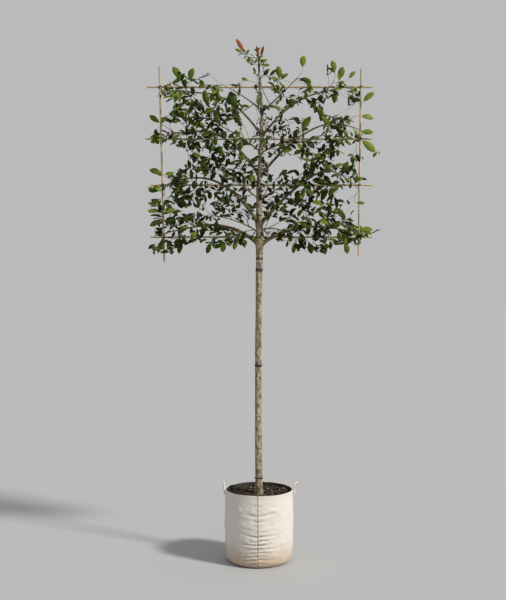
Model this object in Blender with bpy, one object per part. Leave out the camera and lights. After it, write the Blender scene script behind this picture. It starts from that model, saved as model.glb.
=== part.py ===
"""Potted espalier photinia: a clear-stemmed tree trained flat on a bamboo frame, in a canvas bag.

Metres, +Z up. The origin is the centre of the bag's flat underside. The crown lies in the
XZ plane and faces -Y, and the frame stands behind it, on +Y.
"""

import math
import random

import bpy
import numpy as np
from mathutils import Matrix, Vector
from mathutils.bvhtree import BVHTree

GAP = 0.0003            # clearance between pieces that touch
SEED = 4127

# --- bag, lining and soil ---------------------------------------------------------------
BAG_RADII = ((0.038, 0.1905), (0.10, 0.1945), (0.21, 0.1970), (0.32, 0.1960), (0.405, 0.1925))
BAG_HEIGHT = BAG_RADII[-1][0]
BAG_CORNER = BAG_RADII[0][0]    # rounding where the wall meets the underside
BAG_FLOOR_RADIUS = BAG_RADII[0][1] - BAG_CORNER
BAG_WALL = 0.003
BAG_SIDES = 24
CORNER_STEPS = 3
LINING_WALL = 0.0016
LINING_DROP = 0.006     # the lining's edge lies this far below the bag's rim
LINING_FOOT = 0.325
SOIL_TOP = 0.373
LOOP_ROPE_RADIUS = 0.0042
LOOP_WIDTH = 0.036
LOOP_HEIGHT = 0.066
LOOP_FOOT = 0.376
LOOP_STEPS = 10
LOOP_TWIST_LEFT = 0.008
LOOP_TWIST_RIGHT = 0.032

# --- trunk: height against radius, and height against sideways sway ---------------------
TRUNK_RADII = (
    (0.373, 0.0275), (0.395, 0.0232), (0.45, 0.0205), (0.80, 0.0187), (1.50, 0.0180),
    (1.74, 0.0188), (1.80, 0.0220), (1.86, 0.0205), (2.00, 0.0165), (2.15, 0.0135),
    (2.40, 0.0098), (2.70, 0.0075), (2.825, 0.0045))
TRUNK_SWAY = (
    (0.373, 0.000), (0.80, -0.004), (1.30, -0.003), (1.81, 0.003), (2.12, -0.001),
    (2.39, 0.013), (2.57, 0.017), (2.71, 0.008), (2.825, -0.001))
TRUNK_TOP = TRUNK_RADII[-1][0]
TRUNK_SIDES = 12
TRUNK_BACK = 0.0222     # the crown's trunk leans back until it meets the canes at this y
LEAN_START = 1.55
LEAN_END = 1.80

# --- bamboo frame -----------------------------------------------------------------------
CANE_RADIUS = 0.0055
CANE_SIDES = 8
RAIL_HEIGHTS = (1.844, 2.143, 2.408, 2.706)
RAIL_LEFT = (-0.622, -0.622, -0.652, -0.643)
RAIL_RIGHT = 0.652
POST_TOPS = {"left": (-0.571, 2.823), "right": (0.586, 2.810)}
POST_FEET = {"left": (-0.543, 1.703), "right": (0.571, 1.735)}
RAIL_Y = TRUNK_BACK + GAP + CANE_RADIUS
POST_Y = RAIL_Y - 2 * CANE_RADIUS - GAP
TIE_RADIUS = 0.0014
TIE_SIDES = 4
TIE_CLEARANCE = 0.0010
TIE_POINTS = 8
BAND_HEIGHTS = (0.468, 1.109, 1.655, 1.720)
BAND_WIDTHS = (0.010, 0.014, 0.016, 0.008)
BAND_THICKNESS = 0.0022

# --- boughs: height on the trunk, rise angle, tip (x, y, z), root and tip radius ----------
BOUGHS = {
    "bough_1_left": (1.800, 40, (-0.330, -0.020, 1.905), 0.0115, 0.0058),
    "bough_1_right": (1.795, 36, (0.335, -0.018, 1.900), 0.0115, 0.0058),
    "bough_2_left": (1.915, 58, (-0.325, 0.000, 2.180), 0.0100, 0.0052),
    "bough_2_right": (1.905, 52, (0.330, -0.004, 2.205), 0.0100, 0.0052),
    "bough_3_left": (2.190, 58, (-0.320, -0.012, 2.445), 0.0082, 0.0048),
    "bough_3_right": (2.180, 54, (0.335, -0.010, 2.470), 0.0082, 0.0048),
    "bough_4_left": (2.425, 56, (-0.320, -0.004, 2.665), 0.0066, 0.0042),
    "bough_4_right": (2.415, 54, (0.325, -0.008, 2.660), 0.0066, 0.0042),
}
BOUGH_SIDES = 6
BOUGH_RINGS = 6

# --- masses of foliage ------------------------------------------------------------------
# centre of the mass's space, what carries its stem, and the stem's far end
MASSES = {
    "foliage_1_left_outer": ((-0.490, -0.015, 1.870), "bough_1_left", (-0.585, -0.020, 1.850)),
    "foliage_1_left_inner": ((-0.190, 0.010, 1.905), 1.865, (-0.265, -0.060, 1.960)),
    "foliage_1_right_inner": ((0.170, -0.015, 1.880), 1.870, (0.225, -0.062, 1.820)),
    "foliage_1_right_outer": ((0.480, 0.005, 1.880), "bough_1_right", (0.600, -0.020, 1.860)),
    "foliage_2_left_outer": ((-0.450, 0.012, 2.135), "bough_2_left", (-0.570, -0.020, 2.120)),
    "foliage_2_left_inner": ((-0.170, -0.020, 2.150), 2.060, (-0.200, -0.065, 2.210)),
    "foliage_2_right_inner": ((0.150, 0.012, 2.140), 2.050, (0.190, -0.060, 2.150)),
    "foliage_2_right_outer": ((0.455, -0.018, 2.150), "bough_2_right", (0.570, -0.020, 2.110)),
    "foliage_3_left_outer": ((-0.480, -0.020, 2.400), "bough_3_left", (-0.570, -0.020, 2.400)),
    "foliage_3_left_inner": ((-0.185, 0.012, 2.425), 2.330, (-0.240, -0.055, 2.480)),
    "foliage_3_right_inner": ((0.175, -0.010, 2.400), 2.320, (0.215, -0.065, 2.365)),
    "foliage_3_right_outer": ((0.490, 0.010, 2.415), "bough_3_right", (0.600, -0.020, 2.440)),
    "foliage_4_left_outer": ((-0.450, 0.015, 2.660), "bough_4_left", (-0.555, -0.015, 2.680)),
    "foliage_4_left_inner": ((-0.170, -0.015, 2.690), 2.570, (-0.200, -0.045, 2.700)),
    "foliage_4_right_inner": ((0.155, 0.015, 2.660), 2.560, (0.215, -0.045, 2.740)),
    "foliage_4_right_outer": ((0.450, -0.012, 2.670), "bough_4_right", (0.540, -0.020, 2.700)),
    "foliage_5_leader": ((-0.015, 0.000, 2.960), "trunk", (-0.012, -0.010, 2.900)),
}
# named shoots that reach the outline: mass, foot of the end leaf (x, y, z), its heading in
# degrees from straight up (positive towards +X), and its length
SHOOTS = (
    ("foliage_5_leader", (-0.081, -0.010, 2.898), -18, 0.092),
    ("foliage_5_leader", (0.000, -0.012, 2.866), -15, 0.072),
    ("foliage_5_leader", (0.007, -0.004, 2.866), 14, 0.070),
    ("foliage_5_leader", (-0.095, -0.016, 2.890), -56, 0.056),
    ("foliage_5_leader", (-0.055, -0.010, 2.836), 6, 0.038),
    ("foliage_4_right_inner", (0.249, -0.012, 2.806), -3, 0.080),
    ("foliage_4_right_outer", (0.431, -0.020, 2.778), -20, 0.074),
    ("foliage_4_right_outer", (0.457, -0.008, 2.737), 2, 0.080),
    ("foliage_4_right_outer", (0.510, -0.018, 2.742), 32, 0.062),
    ("foliage_4_left_outer", (-0.446, -0.020, 2.731), -22, 0.096),
    ("foliage_4_left_outer", (-0.394, -0.008, 2.731), 8, 0.082),
    ("foliage_4_left_inner", (-0.131, -0.030, 2.560), 2, 0.104),
    ("foliage_3_right_outer", (0.577, -0.018, 2.531), 108, 0.080),
    ("foliage_3_right_outer", (0.577, -0.026, 2.440), 85, 0.074),
    ("foliage_3_right_outer", (0.583, -0.012, 2.395), 121, 0.106),
    ("foliage_2_right_outer", (0.600, -0.012, 2.270), 94, 0.078),
    ("foliage_2_right_outer", (0.550, -0.020, 2.036), 125, 0.076),
    ("foliage_1_right_outer", (0.566, -0.020, 1.880), 86, 0.082),
    ("foliage_1_right_outer", (0.490, -0.020, 1.815), 172, 0.072),
    ("foliage_1_right_outer", (0.375, -0.030, 1.810), 184, 0.070),
    ("foliage_1_right_inner", (0.280, -0.030, 1.812), 176, 0.072),
    ("foliage_1_right_inner", (0.200, -0.025, 1.808), 188, 0.068),
    ("foliage_1_left_inner", (-0.125, -0.030, 1.806), 182, 0.066),
    ("foliage_1_left_inner", (-0.275, -0.025, 1.812), 184, 0.070),
    ("foliage_1_left_outer", (-0.555, -0.030, 1.815), 190, 0.070),
    ("foliage_1_left_outer", (-0.549, -0.022, 1.931), -119, 0.080),
    ("foliage_1_left_outer", (-0.450, -0.025, 1.812), 176, 0.068),
    ("foliage_2_left_outer", (-0.549, -0.018, 2.194), -60, 0.084),
    ("foliage_2_left_outer", (-0.560, -0.020, 2.060), -108, 0.072),
    ("foliage_3_left_outer", (-0.562, -0.022, 2.490), -57, 0.076),
    ("foliage_3_left_outer", (-0.560, -0.018, 2.380), -122, 0.080),
)
CROWN_LEFT = -0.632
CROWN_RIGHT = 0.682
CROWN_FOOT = 1.738
CROWN_TOP = 2.992
CROWN_SHOULDER = 2.895  # top of every mass but the leader's
CROWN_FRONT = -0.165
CROWN_BACK = 0.150
SPACE_MARGIN = 0.0006   # each mass stops this far inside its space
LIMB_MARGIN = 0.0030

TWIGS_PER_MASS = 8      # with its stem
LEAVES_PER_TWIG = 5     # with its end leaf
LEAVES_PER_MASS = 26    # past this many no further twig is dressed
TWIG_TRIES = 40
TARGET_TRIES = 300
TWIG_DEPTH = 0.080      # twigs end within this distance of the crown's middle plane
TWIG_INSET = 0.022      # and this far inside their space
TWIG_CEILING = 2.740    # and below this, save for the named shoots
TWIG_EDGE = 0.004       # no part of a twig comes nearer than this to its space's walls
TWIG_LEAD = 0.35        # share of its reach over which a twig keeps its carrier's way
TWIG_RISE = 0.10        # how far it then lifts, as a share of its reach
DEPTH_WEIGHT = 0.5      # depth counts this much in how far apart twigs are spread
TWIG_ROOT_RADIUS = 0.0030
TWIG_SHARE = 0.65       # a twig's root is this much of the wood it leaves
TWIG_TIP_RADIUS = 0.0018
TWIG_RINGS = 3
STEM_RINGS = 6
STEM_TIP_RADIUS = 0.0030
LEAF_LENGTH = 0.096
LEAF_LENGTH_SPREAD = 0.014
LEAF_WIDTH_RATIO = 0.53
LEAF_WIDEST = 0.52      # share of the length at which the leaf is widest
LEAF_FOLD = 0.09        # how far the edges rise over the midrib, as a share of the length
STALK_SHARE = 0.16      # share of the length at which the leaf is thickest
STALK_THICKNESS = 0.0022
LEAF_STEP = 0.032       # distance between leaves along a twig
LEAF_SPREAD_ANGLE = 52
LEAF_TIP_DEPTH = 0.0025 # how deep the end leaf sits in the twig's tip
LEAF_TRIES = 5
TIP_TILT = 15           # degrees an end leaf turns aside at each further try
SHOOT_BEND = 0.06       # how far before its tip a named shoot takes its heading
LEAF_SHRINK = 0.93
BARE_SHARE = 0.12       # the foot of a twig without leaves
FLATTEN = 0.7           # the crown is trained flat, so leaves keep a little to its plane
SHORTEST_TWIG = 0.03
START_TRIES = 4         # places on the wood that a twig tries to start from
TURN_COST = 0.6
GOLDEN_ANGLE = math.radians(137.5)

COLOURS = {
    "bark": ((0.20, 0.17, 0.12), 0.85),
    "leaf": ((0.035, 0.062, 0.009), 0.50),
    "new_leaf": ((0.33, 0.07, 0.025), 0.45),
    "bamboo": ((0.52, 0.38, 0.20), 0.55),
    "tie": ((0.02, 0.02, 0.02), 0.60),
    "canvas": ((0.72, 0.69, 0.62), 0.90),
    "lining": ((0.02, 0.02, 0.02), 0.90),
    "rope": ((0.70, 0.64, 0.50), 0.90),
    "soil": ((0.035, 0.022, 0.015), 0.95),
}


# --- scene, materials and mesh helpers --------------------------------------------------
def clear_scene():
    for thing in list(bpy.data.objects):
        bpy.data.objects.remove(thing, do_unlink=True)


def make_material(name):
    colour, roughness = COLOURS[name]
    material = bpy.data.materials.new(name)
    material.use_nodes = True
    shader = material.node_tree.nodes["Principled BSDF"]
    shader.inputs["Base Color"].default_value = (*colour, 1.0)
    shader.inputs["Roughness"].default_value = roughness
    shader.inputs["Metallic"].default_value = 0.0
    return material


def add_object(name, shape, material, smooth_angle=50):
    """One object from (vertices, faces), with its material."""
    vertices, faces = shape
    mesh = bpy.data.meshes.new(name)
    mesh.from_pydata([tuple(map(float, v)) for v in vertices], [], faces)
    mesh.validate()
    mesh.materials.append(material)
    mesh.shade_smooth()
    mesh.set_sharp_from_angle(angle=math.radians(smooth_angle))
    thing = bpy.data.objects.new(name, mesh)
    bpy.context.scene.collection.objects.link(thing)
    return thing


def interpolate(table, value):
    return float(np.interp(value, [row[0] for row in table], [row[1] for row in table]))


def smooth_step(value, start, end):
    share = min(max((value - start) / (end - start), 0.0), 1.0)
    return share * share * (3 - 2 * share)


def frames_along(points):
    """For each point of a path, two unit vectors across it that don't twist."""
    points = [Vector(p) for p in points]
    tangents = []
    for i in range(len(points)):
        before = points[max(i - 1, 0)]
        after = points[min(i + 1, len(points) - 1)]
        tangents.append((after - before).normalized())
    helper = Vector((0, 1, 0)) if abs(tangents[0].y) < 0.9 else Vector((1, 0, 0))
    across = tangents[0].cross(helper).normalized()
    result = []
    for tangent in tangents:
        across = (across - tangent * across.dot(tangent)).normalized()
        result.append((across, tangent.cross(across).normalized()))
    return points, result


def tube(points, radii, sides, phase=0.0):
    """A closed tapering tube along a path, with flat ends."""
    points, frames = frames_along(points)
    vertices = []
    for point, radius, (across, over) in zip(points, radii, frames):
        for k in range(sides):
            angle = phase + math.tau * k / sides
            vertices.append(point + radius * (math.cos(angle) * across + math.sin(angle) * over))
    faces = []
    for ring in range(len(points) - 1):
        for k in range(sides):
            a = ring * sides + k
            b = ring * sides + (k + 1) % sides
            faces.append((a, b, b + sides, a + sides))
    faces.append(tuple(reversed(range(sides))))
    last = (len(points) - 1) * sides
    faces.append(tuple(range(last, last + sides)))
    return vertices, faces


def closed_loop(points, normal, radius, sides):
    """A ring-shaped solid along a closed flat path."""
    points = [Vector(p) for p in points]
    normal = Vector(normal).normalized()
    vertices = []
    count = len(points)
    for i, point in enumerate(points):
        tangent = (points[(i + 1) % count] - points[i - 1]).normalized()
        outward = tangent.cross(normal).normalized()
        for k in range(sides):
            angle = math.tau * (k + 0.5) / sides
            vertices.append(point + radius * (math.cos(angle) * outward + math.sin(angle) * normal))
    faces = []
    for i in range(count):
        for k in range(sides):
            a = i * sides + k
            b = i * sides + (k + 1) % sides
            c = ((i + 1) % count) * sides + (k + 1) % sides
            d = ((i + 1) % count) * sides + k
            faces.append((a, d, c, b))
    return vertices, faces


def lathe(profile, sides):
    """Turn a profile of (radius, height) about Z; a radius of 0 closes to a pole."""
    vertices = []
    rows = []
    for radius, height in profile:
        if radius == 0:
            rows.append([len(vertices)])
            vertices.append((0, 0, height))
            continue
        rows.append(list(range(len(vertices), len(vertices) + sides)))
        for k in range(sides):
            angle = math.tau * k / sides
            vertices.append((radius * math.cos(angle), radius * math.sin(angle), height))
    faces = []
    closed = profile[0][0] != 0
    pairs = list(zip(rows, rows[1:]))
    if closed:
        pairs.append((rows[-1], rows[0]))
    for low, high in pairs:
        for k in range(sides):
            a = low[k % len(low)]
            b = low[(k + 1) % len(low)]
            c = high[(k + 1) % len(high)]
            d = high[k % len(high)]
            faces.append(tuple(dict.fromkeys((a, b, c, d))))
    return vertices, faces


# --- bag --------------------------------------------------------------------------------
def bag_radius(height):
    """Outer radius of the bag's wall above its rounded lower edge."""
    return interpolate(BAG_RADII, height)


def bag_corner(inset):
    """The rounded lower edge, from the underside to the wall, moved in by inset."""
    points = []
    for step in range(CORNER_STEPS + 1):
        angle = math.radians(90 * step / CORNER_STEPS)
        radius = BAG_FLOOR_RADIUS + (BAG_CORNER - inset) * math.sin(angle)
        points.append((radius, BAG_CORNER - (BAG_CORNER - inset) * math.cos(angle)))
    return points


def bag_wall(inset, low, high):
    """The wall from one height to another, moved in by inset, with the bag's own rings."""
    rings = [height for height, _ in BAG_RADII if low < height < high]
    return [(bag_radius(height) - inset, height) for height in [low] + rings + [high]]


def bag_side(inset, high):
    """The rounded edge and the wall above it, as one line of rings."""
    return bag_corner(inset) + bag_wall(inset, BAG_CORNER, high)[1:]


def make_bag(material):
    outer = bag_side(0.0, BAG_HEIGHT)
    inner = bag_side(BAG_WALL, BAG_HEIGHT)
    profile = [(0, 0.0)] + outer + list(reversed(inner)) + [(0, BAG_WALL)]
    add_object("bag", lathe(profile, BAG_SIDES), material)


def make_lining(material):
    inset = BAG_WALL + GAP
    top = BAG_HEIGHT - LINING_DROP
    outer = bag_wall(inset, LINING_FOOT, top)
    inner = bag_wall(inset + LINING_WALL, LINING_FOOT, top)
    add_object("bag_lining", lathe(outer + list(reversed(inner)), BAG_SIDES), material)


def make_soil(material):
    """The soil fills the bag, stepped in where the lining lies against it."""
    inset = BAG_WALL + GAP
    step = LINING_FOOT - GAP
    below = bag_side(inset, step)
    beside = bag_wall(inset + LINING_WALL + GAP, step, SOIL_TOP)
    profile = [(0, inset)] + below + beside + [(0, SOIL_TOP)]
    add_object("soil", lathe(profile, BAG_SIDES), material)


def make_rope_loop(name, side, twist, material):
    """A small rope handle that stands over the rim, with both ends against the wall."""
    reach = bag_radius(LOOP_FOOT) + (GAP + LOOP_ROPE_RADIUS) / math.cos(math.pi / BAG_SIDES)
    points = []
    for step in range(LOOP_STEPS + 1):
        share = step / LOOP_STEPS
        arch = math.sin(math.pi * share)
        height = LOOP_FOOT + LOOP_HEIGHT * arch ** 0.7
        along = -LOOP_WIDTH / 2 * math.cos(math.pi * share)
        facet = abs(along) * math.tan(math.pi / BAG_SIDES)
        out = reach - facet + twist * share * arch ** 0.6
        points.append((side * out, along, height))
    add_object(name, tube(points, [LOOP_ROPE_RADIUS] * len(points), 6), material)


# --- trunk and boughs -------------------------------------------------------------------
def trunk_radius(height):
    return interpolate(TRUNK_RADII, height)


def trunk_centre(height):
    lean = smooth_step(height, LEAN_START, LEAN_END)
    return Vector((interpolate(TRUNK_SWAY, height),
                   lean * (TRUNK_BACK - trunk_radius(height)), height))


def trunk_heights():
    keys = sorted({row[0] for row in TRUNK_RADII + TRUNK_SWAY})
    heights = []
    for low, high in zip(keys, keys[1:]):
        parts = max(1, round((high - low) / 0.20))
        heights += [low + (high - low) * part / parts for part in range(parts)]
    return heights + [keys[-1]]


def trunk_shape(grow=0.0, foot=0.0):
    """Level rings stacked up the trunk; grow widens it, foot lifts or lowers its flat cut."""
    vertices = []
    heights = trunk_heights()
    for i, height in enumerate(heights):
        centre = trunk_centre(height)
        radius = trunk_radius(height) + grow
        lift = foot if i == 0 else 0.0
        for k in range(TRUNK_SIDES):
            angle = math.tau * k / TRUNK_SIDES
            vertices.append((centre.x + radius * math.cos(angle),
                             centre.y + radius * math.sin(angle), centre.z + lift))
    faces = []
    for ring in range(len(heights) - 1):
        for k in range(TRUNK_SIDES):
            a = ring * TRUNK_SIDES + k
            b = ring * TRUNK_SIDES + (k + 1) % TRUNK_SIDES
            faces.append((a, b, b + TRUNK_SIDES, a + TRUNK_SIDES))
    faces.append(tuple(reversed(range(TRUNK_SIDES))))
    last = (len(heights) - 1) * TRUNK_SIDES
    faces.append(tuple(range(last, last + TRUNK_SIDES)))
    return vertices, faces


def curve_points(start, control, end, count):
    """Points on a quadratic curve."""
    start, control, end = Vector(start), Vector(control), Vector(end)
    points = []
    for step in range(count):
        t = step / (count - 1)
        points.append(start * (1 - t) ** 2 + control * (2 * t * (1 - t)) + end * t ** 2)
    return points


def bough_path(name):
    height, rise, tip, root_radius, tip_radius = BOUGHS[name]
    start = trunk_centre(height)
    tip = Vector(tip)
    reach = 0.48 * abs(tip.x - start.x)
    angle = math.radians(rise)
    side = math.copysign(1.0, tip.x)
    control = start + Vector((side * reach, -0.010, reach * math.tan(angle)))
    points = curve_points(start, control, tip, BOUGH_RINGS)
    radii = np.linspace(root_radius, tip_radius, BOUGH_RINGS)
    return points, [float(radius) for radius in radii]


def cut_from(thing, cutter):
    """Take the cutter's volume away from the object, for good."""
    cut = thing.modifiers.new("cut", "BOOLEAN")
    cut.operation = "DIFFERENCE"
    cut.solver = "EXACT"
    cut.object = cutter
    apply_modifiers(thing)


def apply_modifiers(thing):
    graph = bpy.context.evaluated_depsgraph_get()
    mesh = bpy.data.meshes.new_from_object(thing.evaluated_get(graph))
    thing.modifiers.clear()
    old = thing.data
    thing.data = mesh
    bpy.data.meshes.remove(old)
    mesh.name = thing.name


def make_bough(name, cutter, material):
    points, radii = bough_path(name)
    bough = add_object(name, tube(points, radii, BOUGH_SIDES), material)
    cut_from(bough, cutter)
    keep_largest_body(bough)


# --- frame ------------------------------------------------------------------------------
def post_x(side, height):
    """Where the upright cane's axis is at a height: the uprights lean a little."""
    (foot_x, foot_z), (top_x, top_z) = POST_FEET[side], POST_TOPS[side]
    return foot_x + (top_x - foot_x) * (height - foot_z) / (top_z - foot_z)


def make_canes(material):
    for number, (height, left) in enumerate(zip(RAIL_HEIGHTS, RAIL_LEFT), 1):
        ends = ((left, RAIL_Y, height), (RAIL_RIGHT, RAIL_Y, height))
        add_object(f"rail_{number}", tube(ends, [CANE_RADIUS] * 2, CANE_SIDES), material)
    for side in ("left", "right"):
        (foot_x, foot_z), (top_x, top_z) = POST_FEET[side], POST_TOPS[side]
        ends = ((foot_x, POST_Y, foot_z), (top_x, POST_Y, top_z))
        add_object(f"upright_{side}", tube(ends, [CANE_RADIUS] * 2, CANE_SIDES), material)


def tie_path(front, back, height):
    """A diagonal belt round two crossing rods, given as (x, y, radius)."""
    points = []
    for step in range(TIE_POINTS):
        angle = math.tau * step / TIE_POINTS
        out, deep = math.cos(angle), math.sin(angle)
        x, y, radius = front if deep < 0 else back
        reach = (radius + TIE_CLEARANCE + TIE_RADIUS) / math.cos(math.pi / TIE_POINTS)
        points.append((x + reach * out, y + reach * deep, height + reach * out))
    return points


def make_ties(material):
    for number, height in enumerate(RAIL_HEIGHTS, 1):
        for side in ("left", "right"):
            x = post_x(side, height)
            front = (x, POST_Y, CANE_RADIUS)
            path = tie_path(front, (x, RAIL_Y, CANE_RADIUS), height)
            shape = closed_loop(path, (1, 0, -1), TIE_RADIUS, TIE_SIDES)
            add_object(f"tie_{number}_{side}", shape, material)


def make_bands(material):
    """Flat bands round the trunk."""
    for number, (height, width) in enumerate(zip(BAND_HEIGHTS, BAND_WIDTHS), 1):
        vertices = []
        rows = []
        for inset, level in ((0, -0.5), (1, -0.5), (1, 0.5), (0, 0.5)):
            z = height + level * width
            centre = trunk_centre(z)
            radius = (trunk_radius(z) + 2 * GAP) + inset * BAND_THICKNESS
            rows.append(len(vertices))
            for k in range(TRUNK_SIDES):
                angle = math.tau * k / TRUNK_SIDES
                vertices.append((centre.x + radius * math.cos(angle),
                                 centre.y + radius * math.sin(angle), z))
        faces = []
        for low, high in zip(rows, rows[1:] + rows[:1]):
            for k in range(TRUNK_SIDES):
                after = (k + 1) % TRUNK_SIDES
                faces.append((low + k, low + after, high + after, high + k))
        add_object(f"band_{number}", (vertices, faces), material)


# --- foliage: spaces and clearances -----------------------------------------------------
def space_planes(name):
    """The mass's space as half-spaces (normal, limit): its share of the crown's box."""
    centre = np.array(MASSES[name][0])
    leader = name == "foliage_5_leader"
    top = CROWN_TOP if leader else CROWN_SHOULDER
    planes = [((-1, 0, 0), -CROWN_LEFT), ((1, 0, 0), CROWN_RIGHT), ((0, -1, 0), -CROWN_FRONT),
              ((0, 1, 0), CROWN_BACK), ((0, 0, -1), -CROWN_FOOT), ((0, 0, 1), top)]
    planes = [(np.array(normal, float), limit) for normal, limit in planes]
    for other, (site, _, _) in MASSES.items():
        if other == name:
            continue
        way = np.array(site) - centre
        distance = np.linalg.norm(way)
        normal = way / distance
        planes.append((normal, float(normal @ centre) + distance / 2))
    return planes


def inside(planes, points, margin=SPACE_MARGIN):
    points = np.asarray(points, float)
    return all(float((points @ normal).max()) <= limit - margin for normal, limit in planes)


def limb_segments():
    """Every limb, cane and tie as (start, end, radius)."""
    segments = []
    heights = trunk_heights()
    for low, high in zip(heights, heights[1:]):
        radius = max(trunk_radius(low), trunk_radius(high))
        segments.append((trunk_centre(low), trunk_centre(high), radius))
    for name in BOUGHS:
        points, radii = bough_path(name)
        for a, b, radius in zip(points, points[1:], radii):
            segments.append((a, b, radius))
    for height, left in zip(RAIL_HEIGHTS, RAIL_LEFT):
        ends = (left, RAIL_Y, height), (RAIL_RIGHT, RAIL_Y, height)
        segments.append((*ends, CANE_RADIUS))
        for side in ("left", "right"):
            x = post_x(side, height)
            knot = CANE_RADIUS * 2 + TIE_RADIUS * 3
            segments.append(((x, POST_Y, height), (x, RAIL_Y, height), knot))
    for side in ("left", "right"):
        foot_x, foot_z = POST_FEET[side]
        top_x, top_z = POST_TOPS[side]
        ends = (foot_x, POST_Y, foot_z), (top_x, POST_Y, top_z)
        segments.append((*ends, CANE_RADIUS))
    return segments


class Clearance:
    """Distances from points to the limbs."""

    def __init__(self, segments):
        self.start = np.array([tuple(row[0]) for row in segments])
        self.way = np.array([tuple(row[1]) for row in segments]) - self.start
        self.length2 = (self.way ** 2).sum(1)
        self.radius = np.array([row[2] for row in segments])

    def free(self, points, margin):
        points = np.asarray(points, float)
        offset = points[:, None, :] - self.start[None]
        share = np.clip((offset * self.way[None]).sum(2) / self.length2, 0, 1)
        away = offset - share[..., None] * self.way[None]
        distance = np.sqrt((away ** 2).sum(2)) - self.radius
        return float(distance.min()) > margin


# --- foliage: leaves and twigs ----------------------------------------------------------
def leaf_shape(base, direction, facing, length):
    """A folded blade of six points and eight faces, thickest near its root, like a stalk."""
    across = direction.cross(facing).normalized()
    facing = across.cross(direction).normalized()
    half = across * (length * LEAF_WIDTH_RATIO / 2)
    middle = base + direction * (length * LEAF_WIDEST) + facing * (length * LEAF_FOLD)
    stalk = base + direction * (length * STALK_SHARE)
    depth = facing * (STALK_THICKNESS / 2)
    vertices = [base, middle - half, middle + half, stalk + depth, stalk - depth,
                base + direction * length]
    faces = [(0, 1, 3), (0, 3, 2), (3, 1, 5), (3, 5, 2), (0, 4, 1), (0, 2, 4), (4, 5, 1), (4, 2, 5)]
    return vertices, faces


def leaf_samples(vertices):
    """Points spread over the blade, closer together than the clearance needs."""
    root, left, right, _, _, tip = (np.array(v) for v in vertices)
    middle = root + (tip - root) * LEAF_WIDEST
    points = []
    for share in np.linspace(-1.0, 1.0, 9):
        edge = middle + (right - left) / 2 * share + ((left + right) / 2 - middle) * abs(share)
        for t in np.linspace(0.15, 1.0, 9):
            points.append(root + (edge - root) * t)
            points.append(tip + (edge - tip) * t)
    return np.array(points)


def random_point(planes, rng):
    """A random point inside the space where a twig can end, or None."""
    low = (CROWN_LEFT, -TWIG_DEPTH, CROWN_FOOT)
    high = (CROWN_RIGHT, TWIG_DEPTH, TWIG_CEILING)
    point = np.array([rng.uniform(a, b) for a, b in zip(low, high)])
    return point if inside(planes, [point], TWIG_INSET) else None


def stem_path(name):
    """The mass's stem: from its bough's tip, from the trunk's side or from the trunk's tip."""
    _, carrier, end = MASSES[name]
    end = Vector(end)
    if carrier == "trunk":
        start = trunk_centre(TRUNK_TOP)
        direction = Vector((0, 0, 1))
        root_radius = TRUNK_RADII[-1][1]
    elif isinstance(carrier, str):
        points, radii = bough_path(carrier)
        start = points[-1]
        direction = (points[-1] - points[-2]).normalized()
        root_radius = radii[-1]
    else:
        start = trunk_centre(carrier)
        side = math.copysign(1.0, end.x)
        direction = Vector((side, -0.55, 0.75)).normalized()
        root_radius = 0.0050
    if isinstance(carrier, str):
        start = start + direction * GAP
    reach = (end - start).length
    control = start + direction * (0.45 * reach)
    points = curve_points(start, control, end, STEM_RINGS)
    if isinstance(carrier, str):
        points[1] = start + direction * (points[1] - start).length
    radii = np.linspace(root_radius, STEM_TIP_RADIUS, STEM_RINGS)
    return points, [float(radius) for radius in radii]


def best_starts(target, skeleton):
    """The places on the wood from which a twig reaches the target at the easiest angles."""
    ranked = []
    for number, place in enumerate(skeleton):
        way = target - place[0]
        length = way.length
        if length < SHORTEST_TWIG:
            continue
        turn = math.acos(max(-1.0, min(1.0, way.dot(place[1]) / length)))
        ranked.append((length * (1.0 + TURN_COST * turn ** 2), number))
    return [skeleton[number] for _, number in sorted(ranked)[:START_TRIES]]


def skeleton_of(points, radii, first, number):
    """Places on a tube that can carry a twig: point, direction, radius and the tube's number."""
    rows = []
    for i in range(first, len(points)):
        before = points[max(i - 1, 0)]
        after = points[min(i + 1, len(points) - 1)]
        rows.append((points[i], (after - before).normalized(), radii[i], number))
    return rows


def twig_samples(points):
    samples = []
    for a, b in zip(points, points[1:]):
        steps = max(2, int((b - a).length / 0.006))
        samples += [tuple(a + (b - a) * (step / steps)) for step in range(steps + 1)]
    return samples


def leaf_places(twig, spacing, phase):
    """Leaf roots, the twig's direction there and the way out, spiralling; the tip's comes first."""
    lengths = [(b - a).length for a, b in zip(twig, twig[1:])]
    total = sum(lengths)
    tangent = (twig[-1] - twig[-2]).normalized()
    rows = [(twig[-1] - tangent * LEAF_TIP_DEPTH, tangent, None)]
    for k in range(int(total / spacing)):
        along = total - (k + 0.7) * spacing
        if along < BARE_SHARE * total:
            break
        index = 0
        while index < len(lengths) - 1 and along > lengths[index]:
            along -= lengths[index]
            index += 1
        tangent = (twig[index + 1] - twig[index]).normalized()
        side = tangent.orthogonal().normalized()
        angle = phase + k * GOLDEN_ANGLE
        outward = side * math.cos(angle) + tangent.cross(side) * math.sin(angle)
        outward = Vector((outward.x, outward.y * FLATTEN, outward.z)).normalized()
        rows.append((twig[index] + tangent * along, tangent, outward))
    return rows


def leaf_facing(direction, rng):
    """Leaves turn their upper face to the sky and to the front."""
    want = Vector((rng.uniform(-0.6, 0.6), -0.75 + rng.uniform(-0.4, 0.4), 0.75))
    facing = want - direction * want.dot(direction)
    return facing.normalized() if facing.length > 0.05 else direction.orthogonal().normalized()


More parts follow.
